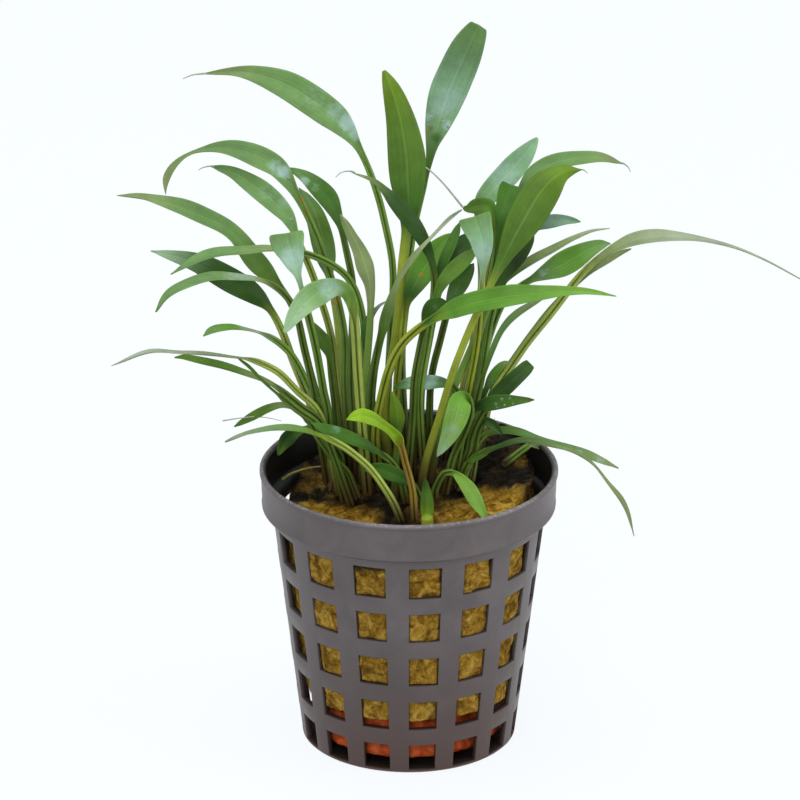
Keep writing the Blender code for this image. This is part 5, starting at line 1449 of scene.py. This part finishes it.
def make_stage(settings):
    """A pale floor, a soft white surround, lamps above, in front and at the right, and the camera."""
    scene = bpy.context.scene
    bpy.ops.mesh.primitive_plane_add(size=settings.floor_size)
    floor = bpy.context.object
    floor.name = "studio_floor"
    floor.data.materials.append(floor_material())
    floor.visible_diffuse = False
    world = bpy.data.worlds.new("studio_surround")
    world.use_nodes = True
    surround = world.node_tree.nodes["Background"]
    surround.inputs["Color"].default_value = (*linear("#f3f9ff"), 1.0)
    surround.inputs["Strength"].default_value = settings.surround
    scene.world = world
    for name, place, size, power in (
            ("lamp_above", (-0.10, 0.05, 0.85), 0.8, settings.lamp_power),
            ("lamp_front", (-0.20, -1.00, 0.60), 0.6, settings.lamp_power * 1.35),
            ("lamp_right", (0.95, -0.20, 0.35), 0.5, settings.lamp_power * 0.8)):
        bpy.ops.object.light_add(type="AREA", location=place)
        lamp = bpy.context.object
        lamp.name = name
        lamp.data.size = size
        lamp.data.energy = power
        toward = Vector((0.0, 0.0, 0.07)) - Vector(place)
        lamp.rotation_euler = toward.to_track_quat("-Z", "Y").to_euler()
    place_camera()
    scene.view_settings.view_transform = "Standard"
    scene.view_settings.look = "None"


def place_camera():
    """The camera stands at the photograph's viewing place and looks at the middle of its frame."""
    centre = Vector((0.0, 0.0, POT_HEIGHT))
    stand = centre + TO_VIEWER * VIEW_DISTANCE
    middle = PHOTO_PIXELS / 2
    aim = (centre + RIGHT * ((middle - RIM_CENTRE_PIXEL[0]) / PIXELS_PER_MM)
           + PICTURE_UP * ((RIM_CENTRE_PIXEL[1] - middle) / PIXELS_PER_MM))
    bpy.ops.object.camera_add(location=stand * MM)
    camera = bpy.context.object
    look = aim - stand
    camera.rotation_euler = look.to_track_quat("-Z", "Y").to_euler()
    camera.data.sensor_width = SENSOR
    camera.data.lens = SENSOR * look.length * PIXELS_PER_MM / PHOTO_PIXELS
    camera.data.clip_end = 20.0
    bpy.context.scene.camera = camera


def colour_property(name, what, code):
    return bpy.props.FloatVectorProperty(name=name, description=what, subtype="COLOR",
                                         default=linear(code), min=0.0, max=1.0)


def length_property(name, what, size, low, high):
    return bpy.props.FloatProperty(name=name, description=what, default=size * MM, min=low * MM,
                                   max=high * MM, unit="LENGTH", precision=4)


class NetPotSettings(bpy.types.PropertyGroup):
    wall: length_property("Wall", "Thickness of the pot's moulded wall", 1.0, 0.4, 2.0)
    colour: colour_property("Colour", "Colour of the pot's plastic", "#5b5353")
    # Painted shade: the browner, darker tint mixed in towards the pot's bottom.
    low_shade: colour_property("Soil", "Brown tint of the plastic near the bottom", "#452f28")
    # Painted shade: the near-black of the pot's inner faces and window jambs.
    inner: colour_property("Inner wall", "Colour of the wet inner wall", "#161512")


class ClaySettings(bpy.types.PropertyGroup):
    grain: length_property("Grain", "Size of the faces that carry the roughness", 0.5, 0.3, 2.0)
    colour: colour_property("Colour", "Colour of the baked clay", "#b4481a")


class WoolSettings(bpy.types.PropertyGroup):
    grain: length_property("Grain", "Size of the faces that carry the roughness", 0.45, 0.3, 2.0)
    strands: bpy.props.IntProperty(
        name="Strands", description="Number of loose strands on the rock wool", default=5000,
        min=0, max=8000)
    colour: colour_property("Fibre", "Colour of the dry fibre", "#b98a26")
    # The dark colour of the wool's top: partly algae, partly painted shade under the leaves.
    algae_and_shade: colour_property("Algae", "Colour of the wet algae on top", "#262015")


class LeafSettings(bpy.types.PropertyGroup):
    thickness: length_property("Thickness", "Thickness of a blade along its midrib", 0.34, 0.1, 0.6)
    across: bpy.props.IntProperty(
        name="Faces across", description="Faces across each leaf before it is smoothed",
        default=8, min=4, max=16)
    # Painted sheen: the pale bluish colour mixed into the blades where they mirror the light.
    painted_sheen_colour: colour_property("Wax", "Pale bluish bloom where the wax is thick", "#a3c0b8")
    night: colour_property("Night", "Blades in the deepest shade", "#26361a")
    shade: colour_property("Shade", "Blades in the shade", "#2c481d")
    dark: colour_property("Dark", "Dark green blades", "#375822")
    deep: colour_property("Deep", "Deep green blades", "#436a27")
    moss: colour_property("Moss", "Mossy green blades", "#507029")
    glow: colour_property("Glow", "Blades that the light shines through", "#668426")
    fresh: colour_property("Fresh", "Fresh green blades", "#5c8a31")
    grass: colour_property("Grass", "Grass green blades", "#749b41")
    lime: colour_property("Lime", "Youngest, yellow-green blades", "#82a826")
    # Sage, mist and frost are green lightened by painted sheen: pale and bluish where the blades mirror the
    # light.
    sage: colour_property("Sage", "Waxy green blades", "#678a50")
    mist: colour_property("Mist", "Pale bluish blades", "#7a9f7a")
    frost: colour_property("Frost", "Palest bluish blades", "#8fae87")
    straw: colour_property("Straw", "Blades drying out", "#7e8f5c")
    ash: colour_property("Ash", "Grey, dried blades", "#949f86")
    green_stalk: colour_property("Green stalk", "Green stalks", "#6f8f3c")
    pale_stalk: colour_property("Pale stalk", "Pale yellow-green stalks", "#9fb052")
    gold_stalk: colour_property("Gold stalk", "Olive yellow stalks", "#93a035")
    dark_stalk: colour_property("Dark stalk", "Dark green stalks", "#5c7330")
    brown_stalk: colour_property("Brown stalk", "Brown stalks", "#8a7430")
    # The stalks' feet: partly their own brown, partly painted shade low in the clump.
    shaded_stalk_foot: colour_property("Stalk's foot", "Brown feet of the stalks", "#4a3b20")


class ThreadSettings(bpy.types.PropertyGroup):
    weight: bpy.props.FloatProperty(
        name="Weight", description="Thickness of the threads against their own", default=1.0,
        min=0.3, max=3.0)


class DropSettings(bpy.types.PropertyGroup):
    size: bpy.props.FloatProperty(
        name="Size", description="Width of the drops of water against their own", default=1.0,
        min=0.3, max=3.0)


class StageSettings(bpy.types.PropertyGroup):
    floor_size: bpy.props.FloatProperty(
        name="Floor", description="Width of the studio floor", default=16.0, min=1.0,
        unit="LENGTH")
    surround: bpy.props.FloatProperty(
        name="Surround", description="Brightness of the white surround", default=0.42, min=0.0)
    lamp_power: bpy.props.FloatProperty(
        name="Lamp", description="Power of the lamp above", default=4.6, min=0.0, unit="POWER")


class PLANT_OT_net_pot(bpy.types.Operator):
    """Model the net pot: collar, slatted wall and underside."""

    bl_idname = "plant.net_pot"
    bl_label = "Net pot"

    def execute(self, context):
        deselect_all()
        make_net_pot(context.scene.net_pot)
        return {"FINISHED"}


class PLANT_OT_clay_base(bpy.types.Operator):
    """Model the disc of baked clay at the bottom of the pot."""

    bl_idname = "plant.clay_base"
    bl_label = "Clay"

    def execute(self, context):
        deselect_all()
        make_clay_base(context.scene.clay_base)
        return {"FINISHED"}


class PLANT_OT_rock_wool(bpy.types.Operator):
    """Model the plug of rock wool with its loose strands."""

    bl_idname = "plant.rock_wool"
    bl_label = "Rock wool"

    def execute(self, context):
        deselect_all()
        make_rock_wool(context.scene.rock_wool)
        return {"FINISHED"}


class PLANT_OT_leaves(bpy.types.Operator):
    """Grow every leaf, each on its own stalk."""

    bl_idname = "plant.leaves"
    bl_label = "Leaves"

    def execute(self, context):
        deselect_all()
        make_leaves(context.scene.leaves)
        return {"FINISHED"}


class PLANT_OT_threads(bpy.types.Operator):
    """Draw the dried tips, the stray hair and the root."""

    bl_idname = "plant.threads"
    bl_label = "Threads"

    def execute(self, context):
        deselect_all()
        make_threads(context.scene.threads)
        return {"FINISHED"}


class PLANT_OT_drops(bpy.types.Operator):
    """Set drops of water on the leaves."""

    bl_idname = "plant.drops"
    bl_label = "Water drops"

    def execute(self, context):
        deselect_all()
        make_drops(context.scene.drops)
        return {"FINISHED"}


class PLANT_OT_stage(bpy.types.Operator):
    """Set up the floor, the lamps and the camera."""

    bl_idname = "plant.stage"
    bl_label = "Stage"

    def execute(self, context):
        deselect_all()
        make_stage(context.scene.stage)
        return {"FINISHED"}


class VIEW3D_PT_plant(bpy.types.Panel):
    """The sidebar's list of the pieces and their sizes."""

    bl_idname = "VIEW3D_PT_plant"
    bl_label = "Potted cryptocoryne"
    bl_space_type = "VIEW_3D"
    bl_region_type = "UI"
    bl_category = "Plant"

    def draw(self, context):
        for step, group in STEPS.items():
            box = self.layout.box()
            box.operator("plant." + step)
            for name in group.__annotations__:
                box.prop(getattr(context.scene, step), name)


STEPS = {"net_pot": NetPotSettings, "clay_base": ClaySettings, "rock_wool": WoolSettings,
         "leaves": LeafSettings, "threads": ThreadSettings, "drops": DropSettings,
         "stage": StageSettings}
OPERATORS = (PLANT_OT_net_pot, PLANT_OT_clay_base, PLANT_OT_rock_wool, PLANT_OT_leaves,
             PLANT_OT_threads, PLANT_OT_drops, PLANT_OT_stage)


def register():
    for kind in (*STEPS.values(), *OPERATORS, VIEW3D_PT_plant):
        bpy.utils.register_class(kind)
    for name, group in STEPS.items():
        setattr(bpy.types.Scene, name, bpy.props.PointerProperty(type=group))


def unregister():
    for name in STEPS:
        delattr(bpy.types.Scene, name)
    for kind in (VIEW3D_PT_plant, *reversed(OPERATORS), *reversed(STEPS.values())):
        bpy.utils.unregister_class(kind)


def main():
    register()
    bpy.ops.plant.net_pot()
    bpy.ops.plant.clay_base()
    bpy.ops.plant.rock_wool()
    bpy.ops.plant.leaves()
    bpy.ops.plant.threads()
    bpy.ops.plant.drops()
    bpy.ops.plant.stage()


if __name__ == "__main__":
    main()
